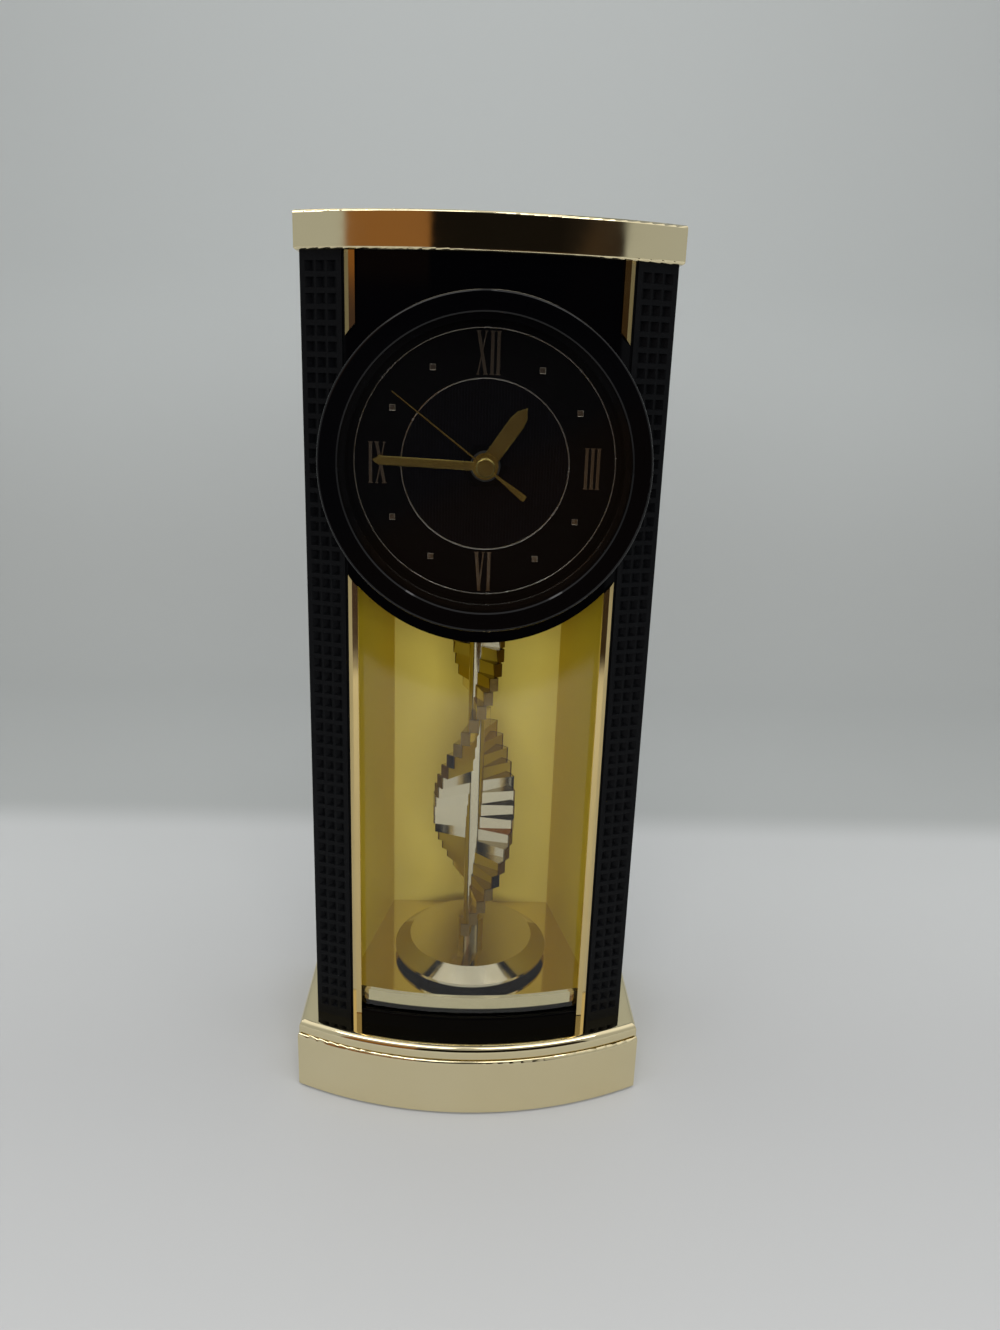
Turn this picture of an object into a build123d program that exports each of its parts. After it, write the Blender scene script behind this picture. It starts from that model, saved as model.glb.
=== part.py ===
from build123d import *

import os
from math import atan2, cos, degrees, hypot, radians, sin, sqrt

os.makedirs("parts", exist_ok=True)

# Desk clock with a turning pendulum behind a bowed window. Millimetres, +Z up, front towards -Y.
# The pendulum's axis is the Z axis and the feet stand on Z = 0.

# Bowed outlines in plan: half width, apex of the bow, bow radius, back
BASE = (52.3, -36.2, 118.0, 38.5)
BODY = (46.8, -28.0, 123.6, 33.0)
CAP = (48.1, -29.4, 122.0, 34.4)

# Heights, from the table up and from the top down
HEIGHT = 250.0
CAP_H = 9.0
FOOT_H = 1.0
PLINTH_Z = 0.8
MAIN_BLOCK_H = 18.0
TIER_H = 4.3
RAIL_H = 4.8
FLOOR_LIFT = 6.0
DIAL_DROP = 49.4

# Walls and fits
WALL = 2.5
FIT = 0.05
RUN = 0.08
GAP = 0.3

# Plinth
PLINTH_EDGE_R = 0.9
TIER_EDGE_R = 2.0
TIER_INSET = 0.5
GROOVE_DEPTH = 1.3
GROOVE_H = 0.6
NECK_REACH = 0.8
PLATE_T = 2.4
FOOT_R = 5.0
FOOT_AT = ((33.0, -20.0), (32.0, 29.0))

# Cap
CAP_EDGE_R = 0.7
CAP_RIM = 6.5
CAP_SCREW_DEPTH = 5.0

# Screws and the posts that take them
SCREW_R = 1.5
SCREW_HEAD_R = 2.9
SCREW_HEAD_H = 1.3
SCREW_END_GAP = 2.0
COVER_SCREW_R = 1.2
COVER_SCREW_L = 7.0
COVER_HEAD_R = 2.4
COVER_SCREW_INSET = 2.6
POST_AT = ((41.2, -11.3), (41.2, 24.5))
POST_HALF = 3.1
FOOT_POST_H = 12.0
HEAD_POST_H = 9.0
COVER_POST_W = 5.5
COVER_POST_L = 9.0
COVER_POST_H = 6.0
COVER_POST_RISE = 16.5
COVER_POST_DROP = 17.0

# Columns, trim strips and front frame
COLUMN_X = 36.1
COLUMN_T = 4.0
TRIM_W = 2.65
TRIM_GAP = 0.75
TRIM_PROUD = 0.8
TRIM_RIDGE_RISE = 0.1
TRIM_RIDGE_SHARE = 0.58
LIP_DEPTH = 0.9
FRAME_T = 1.2
PANE_T = 1.0
PANE_SIDE_GAP = 0.2
FLANGE_W = 5.6
PANEL_SEAT_R = 8.0
WAFFLE_COLUMNS = 3
WAFFLE_PITCH_X = 3.0
WAFFLE_PITCH_Z = 3.75
WAFFLE_W = 2.5
WAFFLE_H = 2.5
WAFFLE_END = 0.4
WAFFLE_DEPTH = 1.0
WAFFLE_MARGIN = 3.5

# Alcove
LINER_T = 1.2
LINER_FRONT = (36.8, -17.4)
LINER_BACK = (27.1, 29.2)
FLOOR_T = 3.0
SILL_T = 1.6
SILL_BEVEL = 0.6
SILL_OVERLAP = 1.0
BRIDGE_T = 3.0
BRIDGE_GAP = 2.6
BRIDGE_FRONT_Y = -13.5
CUP_R = 3.0
CUP_FLOOR_T = 0.8

# Drive under the alcove's floor
DRIVE_BOARD_X = (-18.0, 24.0)
DRIVE_BOARD_Y = (-12.0, 14.0)
DRIVE_BOARD_T = 1.6
DRIVE_COIL_R = 6.5
DRIVE_CORE_R = 2.0

# Bezel, lens and dial, as depths along Y
BEZEL_Y = -38.5
BEZEL_R = 40.7
BEZEL_ROUND = 0.7
BEZEL_SKIRT_T = 2.5
BEZEL_EDGE = 0.35
SKIRT_OVERRUN = 1.0
LENS_R = 35.7
LENS_T = 1.5
LENS_INSET = 0.5
REHAUT_R = 34.2
DIAL_Y = -29.0
DIAL_T = 1.0
DIAL_R = 37.5

# Hands: angles clockwise from XII as they rest
HOUR_ANGLE = 35.0
HOUR_LENGTH = 17.5
HOUR_W = 4.1
HOUR_ROOT_W = 3.8
HOUR_NECK_W = 3.9
HOUR_NECK_L = 4.0
HOUR_TIP_L = 4.6
HOUR_SHOULDER_W = 3.1
HOUR_SHOULDER_L = 2.1
MINUTE_ANGLE = 271.8
MINUTE_LENGTH = 28.2
MINUTE_W = 2.3
MINUTE_ROOT_W = 2.2
MINUTE_TIP_L = 1.8
SECOND_ANGLE = 307.0
SECOND_LENGTH = 28.8
SECOND_TIP_W = 0.28
SECOND_W = 0.46
SECOND_TAIL = 12.6
TAIL_END_W = 1.3
TAIL_W = 1.7
TAIL_ROUND_L = 0.6
TAIL_NECK_W = 1.0
TAIL_NECK_L = 6.0
TAIL_ROOT_L = 2.0
HAND_T = 0.5
HAND_BEVEL = 0.2
HAND_STEP = 1.1
HUB_T = 0.8
HOUR_HUB_R = 3.3
MINUTE_HUB_R = 3.1
BOSS_CAP_R = 2.4
BOSS_CAP_H = 2.5
BOSS_EDGE = 0.4

# Movement case, centred on the dial in X
MOVE_Y = -22.0
MOVE_SPLIT_Y = -14.0
MOVE_BACK_Y = -6.5
MOVE_HIGH = 27.0
MOVE_WALL = 1.5
BUSH_R = 3.8
NUT_T = 1.2
NUT_FLATS = 10.0

# Concentric shafts: the second hand's arbor in the minute pipe in the hour pipe in the bush
SECOND_R = 0.9
PIPE_WALL = 0.62
ARBOR_R = 0.6
MOTION_POST_R = 0.7
KNOB_SHAFT_R = 1.2

# Gear trains: tooth counts, and the centre distances that give the modules
SECOND_PINION_TEETH = 8
THIRD_WHEEL_TEETH = 64
THIRD_PINION_TEETH = 8
MINUTE_WHEEL_TEETH = 60
MINUTE_PINION_TEETH = 12
MOTION_WHEEL_TEETH = 36
MOTION_PINION_TEETH = 10
HOUR_WHEEL_TEETH = 40
KNOB_PINION_TEETH = 12
SECOND_WHEEL_TEETH = 60
IDLER_PINION_TEETH = 10
IDLER_WHEEL_TEETH = 50
ROTOR_PINION_TEETH = 10
THIRD_DISTANCE = 12.24
MOTION_DISTANCE = 8.4
IDLER_DISTANCE = 12.6
ROTOR_DISTANCE = 9.0
THIRD_BEARING = 225.0
MOTION_BEARING = 20.0
KNOB_BEARING = -20.0
IDLER_BEARING = -60.0
ROTOR_BEARING = -45.0
GEAR_T = 0.8
PINION_EXTRA = 0.3
TRAIN_GAP = 0.5
# Tooth form: heights in modules, half widths as shares of the pitch
ADDENDUM_SHARE = 0.8
DEDENDUM_SHARE = 1.05
TIP_SHARE = 0.1
ROOT_SHARE = 0.3
# Front faces of the wheels, from the dial backwards
HOUR_LAYER_Y = -19.9
MOTION_LAYER_Y = -18.3
MINUTE_LAYER_Y = -16.3
THIRD_LAYER_Y = -14.2
SECOND_LAYER_Y = -12.2
IDLER_LAYER_Y = -10.2

# Setting knob
KNOB_R = 5.0
KNOB_H = 6.0
KNOB_GROOVES = 12
KNOB_GROOVE_R = 0.8
KNOB_GROOVE_DEPTH = 0.5
KNOB_COLLAR_H = 1.0

# Motor
ROTOR_R = 3.1
ROTOR_H = 2.6
STATOR_T = 1.0
STATOR_HALF = 4.7
ARM_RISE = 4.1
ARM_H = 2.4
ARM_LEFT_X = -21.0
COIL_R = 2.4
COIL_L = 18.0
COIL_LEFT_X = -17.0
CIRCUIT_W = 23.5
CIRCUIT_H = 15.0
CIRCUIT_T = 1.0
CIRCUIT_SIDE_GAP = 0.7
CIRCUIT_TOP_GAP = 0.1

# AA cell and its bay
CELL_R = 7.25
CELL_L = 50.5
CELL_NUB_R = 2.75
CELL_NUB_H = 1.0
CONTACT_T = 0.35
CONTACT_HALF_W = 4.0
BAY_WALL = 1.0
BAY_GAP = 0.4
BAY_FLOOR_Y = -19.0

# Pendulum
ROD_R = 1.6
SLEEVE_R = 2.6
ROD_PIVOT_R = 0.8
ROD_TOP_R = 1.0
DISC_R = 24.2
DISC_TOP_R = 19.5
DISC_LIFT = 2.2
DISC_RIM_H = 0.8
DISC_H = 4.2
HUB_R = 4.0
HUB_H = 6.0
VANE_GAP = 5.0
BAR_PITCH = 3.95
BAR_T = 2.8
BAR_HALF_L = 12.6
TURN_LENGTH = 65.5
FACING_RISE = 37.9
TAPER_L = 37.8
TAPER_SLOPE = 0.165
MAGNET_R = 3.5
MAGNET_H = 2.4
MAGNET_CIRCLE_R = 14.0
MAGNET_COUNT = 4

# Rear cover and door
DOOR_HALF_W = 30.0
DOOR_H = 64.0
DOOR_MARGIN = 3.0
DOOR_HINGE_GAP = 0.8
DOOR_PIN_R = 0.7
DOOR_PIN_L = 2.5
NOTCH_R = 7.0
NOTCH_BITE = 2.0
NOTCH_DEPTH = 1.05

# Gear modules
SECOND_MODULE = 2 * IDLER_DISTANCE / (SECOND_WHEEL_TEETH + IDLER_PINION_TEETH)
ROTOR_MODULE = 2 * ROTOR_DISTANCE / (IDLER_WHEEL_TEETH + ROTOR_PINION_TEETH)
THIRD_MODULE = 2 * THIRD_DISTANCE / (SECOND_PINION_TEETH + THIRD_WHEEL_TEETH)
MINUTE_MODULE = 2 * THIRD_DISTANCE / (THIRD_PINION_TEETH + MINUTE_WHEEL_TEETH)
MOTION_MODULE = 2 * MOTION_DISTANCE / (MINUTE_PINION_TEETH + MOTION_WHEEL_TEETH)
HOUR_MODULE = 2 * MOTION_DISTANCE / (MOTION_PINION_TEETH + HOUR_WHEEL_TEETH)

# Places that follow from the sizes above
CAP_Z = HEIGHT - CAP_H
DIAL_Z = CAP_Z - DIAL_DROP
BASE_SPLIT_Z = PLINTH_Z + MAIN_BLOCK_H
BASE_TOP_Z = BASE_SPLIT_Z + TIER_H
PLINTH_CEILING_Z = BASE_SPLIT_Z - NECK_REACH
RAIL_TOP_Z = BASE_TOP_Z + RAIL_H
FLOOR_Z = RAIL_TOP_Z + FLOOR_LIFT
TRIM_X = COLUMN_X - TRIM_GAP - TRIM_W / 2
LIP_X = TRIM_X + TRIM_W / 2 + FIT
PANE_HALF_W = LIP_X - PANE_SIDE_GAP
FLANGE_R = BEZEL_R + FLANGE_W
SECOND_TIP_R = SECOND_MODULE * (SECOND_WHEEL_TEETH / 2 + ADDENDUM_SHARE)
MINUTE_TIP_R = MINUTE_MODULE * (MINUTE_WHEEL_TEETH / 2 + ADDENDUM_SHARE)
BAY_TOP = -max(SECOND_TIP_R, MINUTE_TIP_R) - TRAIN_GAP - BAY_WALL
BAY_HALF_W = CELL_L / 2 + CONTACT_T
MOVE_LOW = BAY_TOP - 2 * CELL_R - BAY_GAP - MOVE_WALL
MOVE_HALF_W = BAY_HALF_W + BAY_WALL + FIT + MOVE_WALL
BRIDGE_Z = DIAL_Z + MOVE_LOW - BRIDGE_GAP - BRIDGE_T
DOOR_LOW_Z = BRIDGE_Z + BRIDGE_T + DOOR_MARGIN
DOOR_HIGH_Z = DOOR_LOW_Z + DOOR_H
COVER_POST_Z = (FLOOR_Z + COVER_POST_RISE, CAP_Z - COVER_POST_DROP)

MIN_UP = (Align.CENTER, Align.CENTER, Align.MIN)


def bow_y(x, outline, depth=0.0):
    """Front of a bowed outline at x, at a depth behind its face."""
    apex_y, bow_r = outline[1], outline[2]
    return apex_y + bow_r - sqrt((bow_r - depth) ** 2 - x**2)


def bow_arc(x0, x1, outline, depth=0.0):
    middle = (x0 + x1) / 2
    return ThreePointArc(*[(x, bow_y(x, outline, depth)) for x in (x0, middle, x1)])


def prism(edges, z0, z1):
    return Pos(0, 0, z0) * extrude(make_face(edges), z1 - z0, dir=(0, 0, 1))


def bow_block(outline, inset, z0, z1):
    """Block with a bowed front and straight sides, drawn in by an inset all round."""
    half_w = outline[0] - inset
    back_y = outline[3] - inset
    front = bow_arc(-half_w, half_w, outline, inset)
    sides = Polyline(front @ 1, (half_w, back_y), (-half_w, back_y), front @ 0)
    return prism([front, *sides.edges()], z0, z1)


def bow_slab(half_w, z0, z1, depth0, depth1):
    """Sheet that follows the body's bow between two depths behind its face."""
    front = bow_arc(-half_w, half_w, BODY, depth0)
    back = bow_arc(half_w, -half_w, BODY, depth1)
    return prism([front, Line(front @ 1, back @ 0), back, Line(back @ 1, front @ 0)], z0, z1)


def plan(points, z0, z1):
    return prism(Polyline(*points, close=True).edges(), z0, z1)


def box(x, y, z):
    """Box between pairs of coordinates."""
    size = [high - low for low, high in (x, y, z)]
    return Pos(x[0], y[0], z[0]) * Box(*size, align=(Align.MIN, Align.MIN, Align.MIN))


def peg(x, y, radius, z0, z1):
    return Pos(x, y, z0) * Cylinder(radius, z1 - z0, align=MIN_UP)


def drum(radius, y0, y1, x=0.0, z=0.0):
    """Cylinder along Y at a place measured from the dial's centre."""
    return Pos(x, y0, DIAL_Z + z) * Rot(-90, 0, 0) * Cylinder(radius, y1 - y0, align=MIN_UP)


def barrel(radius, x0, x1, y, z):
    """Cylinder along X."""
    return Pos(x0, y, z) * Rot(0, 90, 0) * Cylinder(radius, x1 - x0, align=MIN_UP)


def dial_plane(y, x=0.0, z=0.0):
    """Plane facing back, in which angles run clockwise as seen from the front."""
    return Plane((x, y, DIAL_Z + z), x_dir=(1, 0, 0), z_dir=(0, 1, 0))


def polar(radius, angle):
    return (radius * cos(radians(angle)), radius * sin(radians(angle)))


def place(distance, bearing, start=(0.0, 0.0)):
    """Point at a distance and bearing from another, as X and height from the dial's centre."""
    across, down = polar(distance, bearing)
    return (start[0] + across, start[1] - down)


def gear(teeth, module, phase, y0, y1, at=(0.0, 0.0)):
    pitch = 360 / teeth
    pitch_r = module * teeth / 2
    root_r = pitch_r - DEDENDUM_SHARE * module
    tip_r = pitch_r + ADDENDUM_SHARE * module
    corners = ((root_r, -ROOT_SHARE), (tip_r, -TIP_SHARE), (tip_r, TIP_SHARE), (root_r, ROOT_SHARE))
    points = [polar(r, phase + (k + share) * pitch) for k in range(teeth) for r, share in corners]
    face = make_face(Polyline(*points, close=True).edges())
    return extrude(dial_plane(y0, *at) * face, y1 - y0, dir=(0, 1, 0))


def meshing_phase(bearing, driver_teeth, driver_phase, teeth):
    """Phase that puts a gap of the second gear at the first one's tooth on the line of centres."""
    share = (bearing - driver_phase) * driver_teeth / 360
    return bearing + 180 - (0.5 - share) * 360 / teeth


def pinion_span(layer_y):
    return layer_y - PINION_EXTRA, layer_y + GEAR_T + PINION_EXTRA


def screw(x, y, z_head, z_tip):
    """Pan head below, shank upwards."""
    head = peg(x, y, SCREW_HEAD_R, z_head, z_head + SCREW_HEAD_H)
    return head + peg(x, y, SCREW_R, z_head + SCREW_HEAD_H, z_tip)


def four(points):
    """Points mirrored to both sides."""
    return [(side * x, y) for side in (-1, 1) for x, y in points]


def dimple(u, z):
    """Trough of the waffle with steep ends, sunk into the plane Y = 0 from just in front of it."""
    spread = 1.2
    half_w = WAFFLE_W / 2 * spread
    half_h = WAFFLE_H / 2 + WAFFLE_END * (spread - 1)
    rise = WAFFLE_DEPTH * (spread - 1)
    left = [(u - half_w, -rise, z - half_h), (u - half_w, -rise, z + half_h)]
    right = [(u + half_w, -rise, z - half_h), (u + half_w, -rise, z + half_h)]
    keel = [(u, WAFFLE_DEPTH, z + side * (WAFFLE_H / 2 - WAFFLE_END)) for side in (-1, 1)]
    rings = [[*left, *reversed(right)], [*left, *reversed(keel)], [*right, *reversed(keel)]]
    rings += [[left[end], right[end], keel[end]] for end in (0, 1)]
    return Solid(Shell([Face(Wire.make_polygon(ring)) for ring in rings]))


def trim():
    """Right-hand trim strip of two facets, in the lengths above and below the panel's flange."""
    inner_x, outer_x = TRIM_X - TRIM_W / 2, TRIM_X + TRIM_W / 2
    ridge_x = inner_x + TRIM_RIDGE_SHARE * TRIM_W
    inner = (inner_x, bow_y(inner_x, BODY) - TRIM_PROUD)
    ridge = (ridge_x, bow_y(ridge_x, BODY) - TRIM_PROUD - TRIM_RIDGE_RISE)
    outer = (outer_x, bow_y(outer_x, BODY))
    back_y = bow_y(inner_x, BODY, FRAME_T)
    strip = plan([inner, ridge, outer, (outer_x, back_y), (inner_x, back_y)], BASE_TOP_Z, CAP_Z)
    return strip - drum(FLANGE_R + FIT, BEZEL_Y, MOVE_Y)


def hand(half_outline, angle, y0):
    """Flat hand from half widths and lengths up one side, turned clockwise to where it rests."""
    right = [(width / 2, -length) for width, length in half_outline]
    left = [(-x, y) for x, y in reversed(right) if x]
    blade = make_face(Polyline(*right, *left, close=True).edges())
    return extrude(dial_plane(y0) * Rot(0, 0, angle) * blade, HAND_T, dir=(0, 1, 0))


def bevelled(solid, size):
    """The solid with a bevel round its front face."""
    return chamfer(solid.edges().group_by(Axis.Y)[0], size)


nodes = {}

# Plinth: a main block, a shadow groove and a rounded upper tier, hollow from below
main_block = bow_block(BASE, 0, PLINTH_Z, BASE_SPLIT_Z)
main_block = fillet(main_block.edges().group_by(Axis.Z)[-1], PLINTH_EDGE_R)
neck = bow_block(BASE, GROOVE_DEPTH, PLINTH_CEILING_Z, BASE_TOP_Z - TIER_EDGE_R)
tier = bow_block(BASE, TIER_INSET, BASE_SPLIT_Z + GROOVE_H, BASE_TOP_Z)
tier = fillet(tier.edges().group_by(Axis.Z)[-1], TIER_EDGE_R)
plinth = main_block + neck + tier - bow_block(BASE, WALL, PLINTH_Z, PLINTH_CEILING_Z)
plate_top_z = FOOT_H + PLATE_T
plate = bow_block(BASE, WALL + FIT, FOOT_H, plate_top_z)
screws = []
for x, y in four(POST_AT):
    plinth += peg(x, y, SCREW_HEAD_R, plate_top_z, PLINTH_CEILING_Z)
    plinth -= peg(x, y, SCREW_R + FIT, PLINTH_Z, BASE_TOP_Z)
    plate -= peg(x, y, SCREW_HEAD_R + FIT, FOOT_H, FOOT_H + SCREW_HEAD_H)
    plate -= peg(x, y, SCREW_R + FIT, FOOT_H, plate_top_z)
    screws.append(screw(x, y, FOOT_H, BASE_TOP_Z + FOOT_POST_H - SCREW_END_GAP))
nodes["base_plinth"] = plinth
nodes["base_plate"] = plate
nodes["base_screws"] = Part() + screws
nodes["rubber_feet"] = Part() + [peg(x, y, FOOT_R, 0, FOOT_H) for x, y in four(FOOT_AT)]

# Columns: a flat waffled face over a side wall, with a lip beside the strip and posts for the screws
column_corner = (BODY[0], bow_y(BODY[0], BODY))
column_inner = (COLUMN_X, bow_y(COLUMN_X, BODY))
wall_x = BODY[0] - WALL
cover_y = BODY[3] - WALL
section = [
    column_inner,
    column_corner,
    (BODY[0], cover_y),
    (wall_x, cover_y),
    (wall_x, column_corner[1] + COLUMN_T),
    (LIP_X, column_inner[1] + COLUMN_T),
    (LIP_X, column_inner[1] + LIP_DEPTH),
    (COLUMN_X, column_inner[1] + LIP_DEPTH),
]
column = plan(section, BASE_TOP_Z, CAP_Z)
for x, y in POST_AT:
    for z0, z1 in ((BASE_TOP_Z, BASE_TOP_Z + FOOT_POST_H), (CAP_Z - HEAD_POST_H, CAP_Z)):
        column += box((x - POST_HALF, wall_x), (y - POST_HALF, y + POST_HALF), (z0, z1))
        column -= peg(x, y, SCREW_R + FIT, z0, z1)
cover_screw_x = wall_x - COVER_SCREW_INSET
for z in COVER_POST_Z:
    post_z = (z - COVER_POST_H / 2, z + COVER_POST_H / 2)
    column += box((wall_x - COVER_POST_W, wall_x), (cover_y - COVER_POST_L, cover_y), post_z)
    column -= drum(COVER_SCREW_R + FIT, cover_y - COVER_SCREW_L - GAP, cover_y, cover_screw_x, z - DIAL_Z)
face_run = (column_corner[0] - column_inner[0], column_corner[1] - column_inner[1])
face_width = hypot(*face_run)
face_angle = degrees(atan2(face_run[1], face_run[0]))
waffle_rows = int((CAP_Z - BASE_TOP_Z - 2 * WAFFLE_MARGIN) / WAFFLE_PITCH_Z) + 1
dimples = []
for row in range(waffle_rows):
    for number in range(WAFFLE_COLUMNS):
        u = face_width / 2 + (number - (WAFFLE_COLUMNS - 1) / 2) * WAFFLE_PITCH_X
        dimples.append(dimple(u, CAP_Z - WAFFLE_MARGIN - row * WAFFLE_PITCH_Z))
to_face = Pos(*column_inner, 0) * Rot(0, 0, face_angle)
column -= [to_face * cut for cut in dimples]
nodes["right_column"] = column
nodes["left_column"] = mirror(column, Plane.YZ)
nodes["right_trim_strip"] = trim()
nodes["left_trim_strip"] = mirror(trim(), Plane.YZ)

# Front frame: the rail below the window, and the panel behind the bezel with a round flange that parts the strips
frame_half = TRIM_X - TRIM_W / 2 - FIT
nodes["lower_rail"] = bow_slab(frame_half, BASE_TOP_Z, RAIL_TOP_Z, 0, FRAME_T)
panel = bow_slab(frame_half, DIAL_Z, CAP_Z, 0, FRAME_T)
flange = bow_slab(TRIM_X + TRIM_W / 2, DIAL_Z - FLANGE_R, DIAL_Z + FLANGE_R, 0, FRAME_T)
panel += flange & drum(FLANGE_R, BEZEL_Y, MOVE_SPLIT_Y)
panel += drum(PANEL_SEAT_R, BODY[1] + FRAME_T / 2, MOVE_Y)
nodes["upper_panel"] = panel - drum(BUSH_R + FIT, BODY[1] - FRAME_T, MOVE_Y)
pane_depth = FRAME_T + FIT
pane_top_z = BRIDGE_Z + BRIDGE_T
nodes["window_pane"] = bow_slab(PANE_HALF_W, BASE_TOP_Z, pane_top_z, pane_depth, pane_depth + PANE_T)

# Alcove: floor with a sill behind the window, folded liner, and the bridge that closes it above
slope = (LINER_FRONT[0] - LINER_BACK[0]) / (LINER_BACK[1] - LINER_FRONT[1])
across = LINER_T * sqrt(1 + slope**2)
outer_back = (LINER_BACK[0] + across - LINER_T * slope, LINER_BACK[1] + LINER_T)
outer_front = (LINER_FRONT[0] + across, LINER_FRONT[1])
liner_right = [LINER_BACK, LINER_FRONT, outer_front, outer_back]
liner_left = [(-x, y) for x, y in reversed(liner_right)]
nodes["alcove_liner"] = plan([*liner_right, *liner_left], FLOOR_Z, BRIDGE_Z)

floor_low_z = FLOOR_Z - FLOOR_T
sill_depth = pane_depth + PANE_T + FIT
sill = bow_arc(-PANE_HALF_W, PANE_HALF_W, BODY, sill_depth)
floor_right = [(PANE_HALF_W, outer_front[1]), outer_front, outer_back]
floor_left = [(-x, y) for x, y in reversed(floor_right)]
floor_sides = Polyline(sill @ 1, *floor_right, *floor_left, sill @ 0)
floor = prism([sill, *floor_sides.edges()], floor_low_z, FLOOR_Z)
floor = chamfer(floor.edges().filter_by(GeomType.CIRCLE).sort_by(Axis.Z)[-1], SILL_BEVEL)
floor += bow_slab(PANE_HALF_W, RAIL_TOP_Z - SILL_OVERLAP, floor_low_z, sill_depth, sill_depth + SILL_T)
nodes["alcove_floor"] = floor - peg(0, 0, CUP_R, floor_low_z, FLOOR_Z)
cup_hole_z = floor_low_z + CUP_FLOOR_T
nodes["pivot_cup"] = peg(0, 0, CUP_R, floor_low_z, FLOOR_Z) - peg(0, 0, ROD_PIVOT_R + RUN, cup_hole_z, FLOOR_Z)
bridge_top_z = pane_top_z
bush = peg(0, 0, SLEEVE_R, BRIDGE_Z, bridge_top_z)
nodes["pendulum_bridge"] = box((-wall_x, wall_x), (BRIDGE_FRONT_Y, cover_y), (BRIDGE_Z, bridge_top_z)) - bush
nodes["upper_bush"] = bush - peg(0, 0, ROD_TOP_R + RUN, BRIDGE_Z, bridge_top_z)

# Drive of the pendulum, between the plinth and the alcove's floor
board_top_z = BASE_TOP_Z + DRIVE_BOARD_T
nodes["drive_board"] = box(DRIVE_BOARD_X, DRIVE_BOARD_Y, (BASE_TOP_Z, board_top_z))
drive_core = peg(MAGNET_CIRCLE_R, 0, DRIVE_CORE_R, board_top_z, floor_low_z)
nodes["drive_coil"] = peg(MAGNET_CIRCLE_R, 0, DRIVE_COIL_R, board_top_z, floor_low_z) - drive_core
nodes["drive_core"] = drive_core

# Pendulum: rod, bevelled disc with its magnets, and the vane of bars that each turn a little further
disc_z = FLOOR_Z + DISC_LIFT
disc_top_z = disc_z + DISC_H
hub_top_z = disc_top_z + HUB_H
disc = peg(0, 0, DISC_R, disc_z, disc_z + DISC_RIM_H)
disc += Pos(0, 0, disc_z + DISC_RIM_H) * Cone(DISC_R, DISC_TOP_R, DISC_H - DISC_RIM_H, align=MIN_UP)
disc += peg(0, 0, HUB_R, disc_top_z, hub_top_z)
magnet_turns = [360 * (number + 0.5) / MAGNET_COUNT for number in range(MAGNET_COUNT)]
magnets = [peg(*polar(MAGNET_CIRCLE_R, turn), MAGNET_R, disc_z, disc_z + MAGNET_H) for turn in magnet_turns]
nodes["pendulum_disc"] = disc - peg(0, 0, ROD_R, disc_z, hub_top_z) - magnets
nodes["pendulum_magnets"] = Part() + magnets
bar_count = int((BRIDGE_Z - VANE_GAP - hub_top_z) / BAR_PITCH)
vane_top_z = hub_top_z + bar_count * BAR_PITCH
vane = peg(0, 0, SLEEVE_R, hub_top_z, vane_top_z)
for number in range(bar_count):
    low_z = hub_top_z + number * BAR_PITCH
    middle_z = low_z + BAR_PITCH / 2
    half_l = BAR_HALF_L - TAPER_SLOPE * max(0, middle_z - vane_top_z + TAPER_L)
    turn = 180 * (middle_z - hub_top_z - FACING_RISE) / TURN_LENGTH
    vane += Pos(0, 0, low_z) * Rot(0, 0, turn) * Box(2 * half_l, BAR_T, BAR_PITCH, align=MIN_UP)
nodes["pendulum_vane"] = vane - peg(0, 0, ROD_R, hub_top_z, vane_top_z)
rod = peg(0, 0, ROD_R, disc_z, vane_top_z)
rod += peg(0, 0, ROD_PIVOT_R, cup_hole_z + FIT, disc_z)
rod += peg(0, 0, ROD_TOP_R, vane_top_z, bridge_top_z - GAP)
nodes["pendulum_rod"] = rod

# Cap: shallow tray over the columns, with bosses for the screws from below
cap = bow_block(CAP, 0, CAP_Z, HEIGHT)
cap = fillet(cap.edges().group_by(Axis.Z)[-1] + cap.edges().group_by(Axis.Z)[0], CAP_EDGE_R)
cap -= bow_block(CAP, CAP_RIM, CAP_Z, HEIGHT - WALL)
cap_screw_top_z = CAP_Z + CAP_SCREW_DEPTH
cap_screws = []
for x, y in four(POST_AT):
    cap += peg(x, y, SCREW_HEAD_R, CAP_Z, HEIGHT - WALL)
    cap -= peg(x, y, SCREW_R + FIT, CAP_Z, cap_screw_top_z)
    cap_screws.append(screw(x, y, CAP_Z - HEAD_POST_H - SCREW_HEAD_H, cap_screw_top_z))
nodes["top_cap"] = cap
nodes["cap_screws"] = Part() + cap_screws

# Bezel: turned ring whose skirt is scribed to the bowed front
lens_back_y = BEZEL_Y + LENS_INSET + LENS_T
dial_back_y = DIAL_Y + DIAL_T
skirt_in_r = BEZEL_R - BEZEL_SKIRT_T
skirt_end_y = column_corner[1] + SKIRT_OVERRUN
round_r = BEZEL_R - BEZEL_ROUND
corner = JernArc((round_r, BEZEL_Y), (1, 0), BEZEL_ROUND, 90)
inside = [
    corner @ 1,
    (BEZEL_R, skirt_end_y),
    (skirt_in_r, skirt_end_y),
    (skirt_in_r, dial_back_y),
    (DIAL_R, dial_back_y),
    (DIAL_R, DIAL_Y),
    (REHAUT_R, DIAL_Y),
    (REHAUT_R, lens_back_y),
    (LENS_R, lens_back_y),
    (LENS_R, BEZEL_Y + BEZEL_EDGE),
    (LENS_R + BEZEL_EDGE, BEZEL_Y),
    corner @ 0,
]
ring_section = make_face([corner, *Polyline(*inside).edges()])
bezel = revolve(Pos(0, 0, DIAL_Z) * ring_section, Axis((0, 0, DIAL_Z), (0, 1, 0)))
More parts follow.
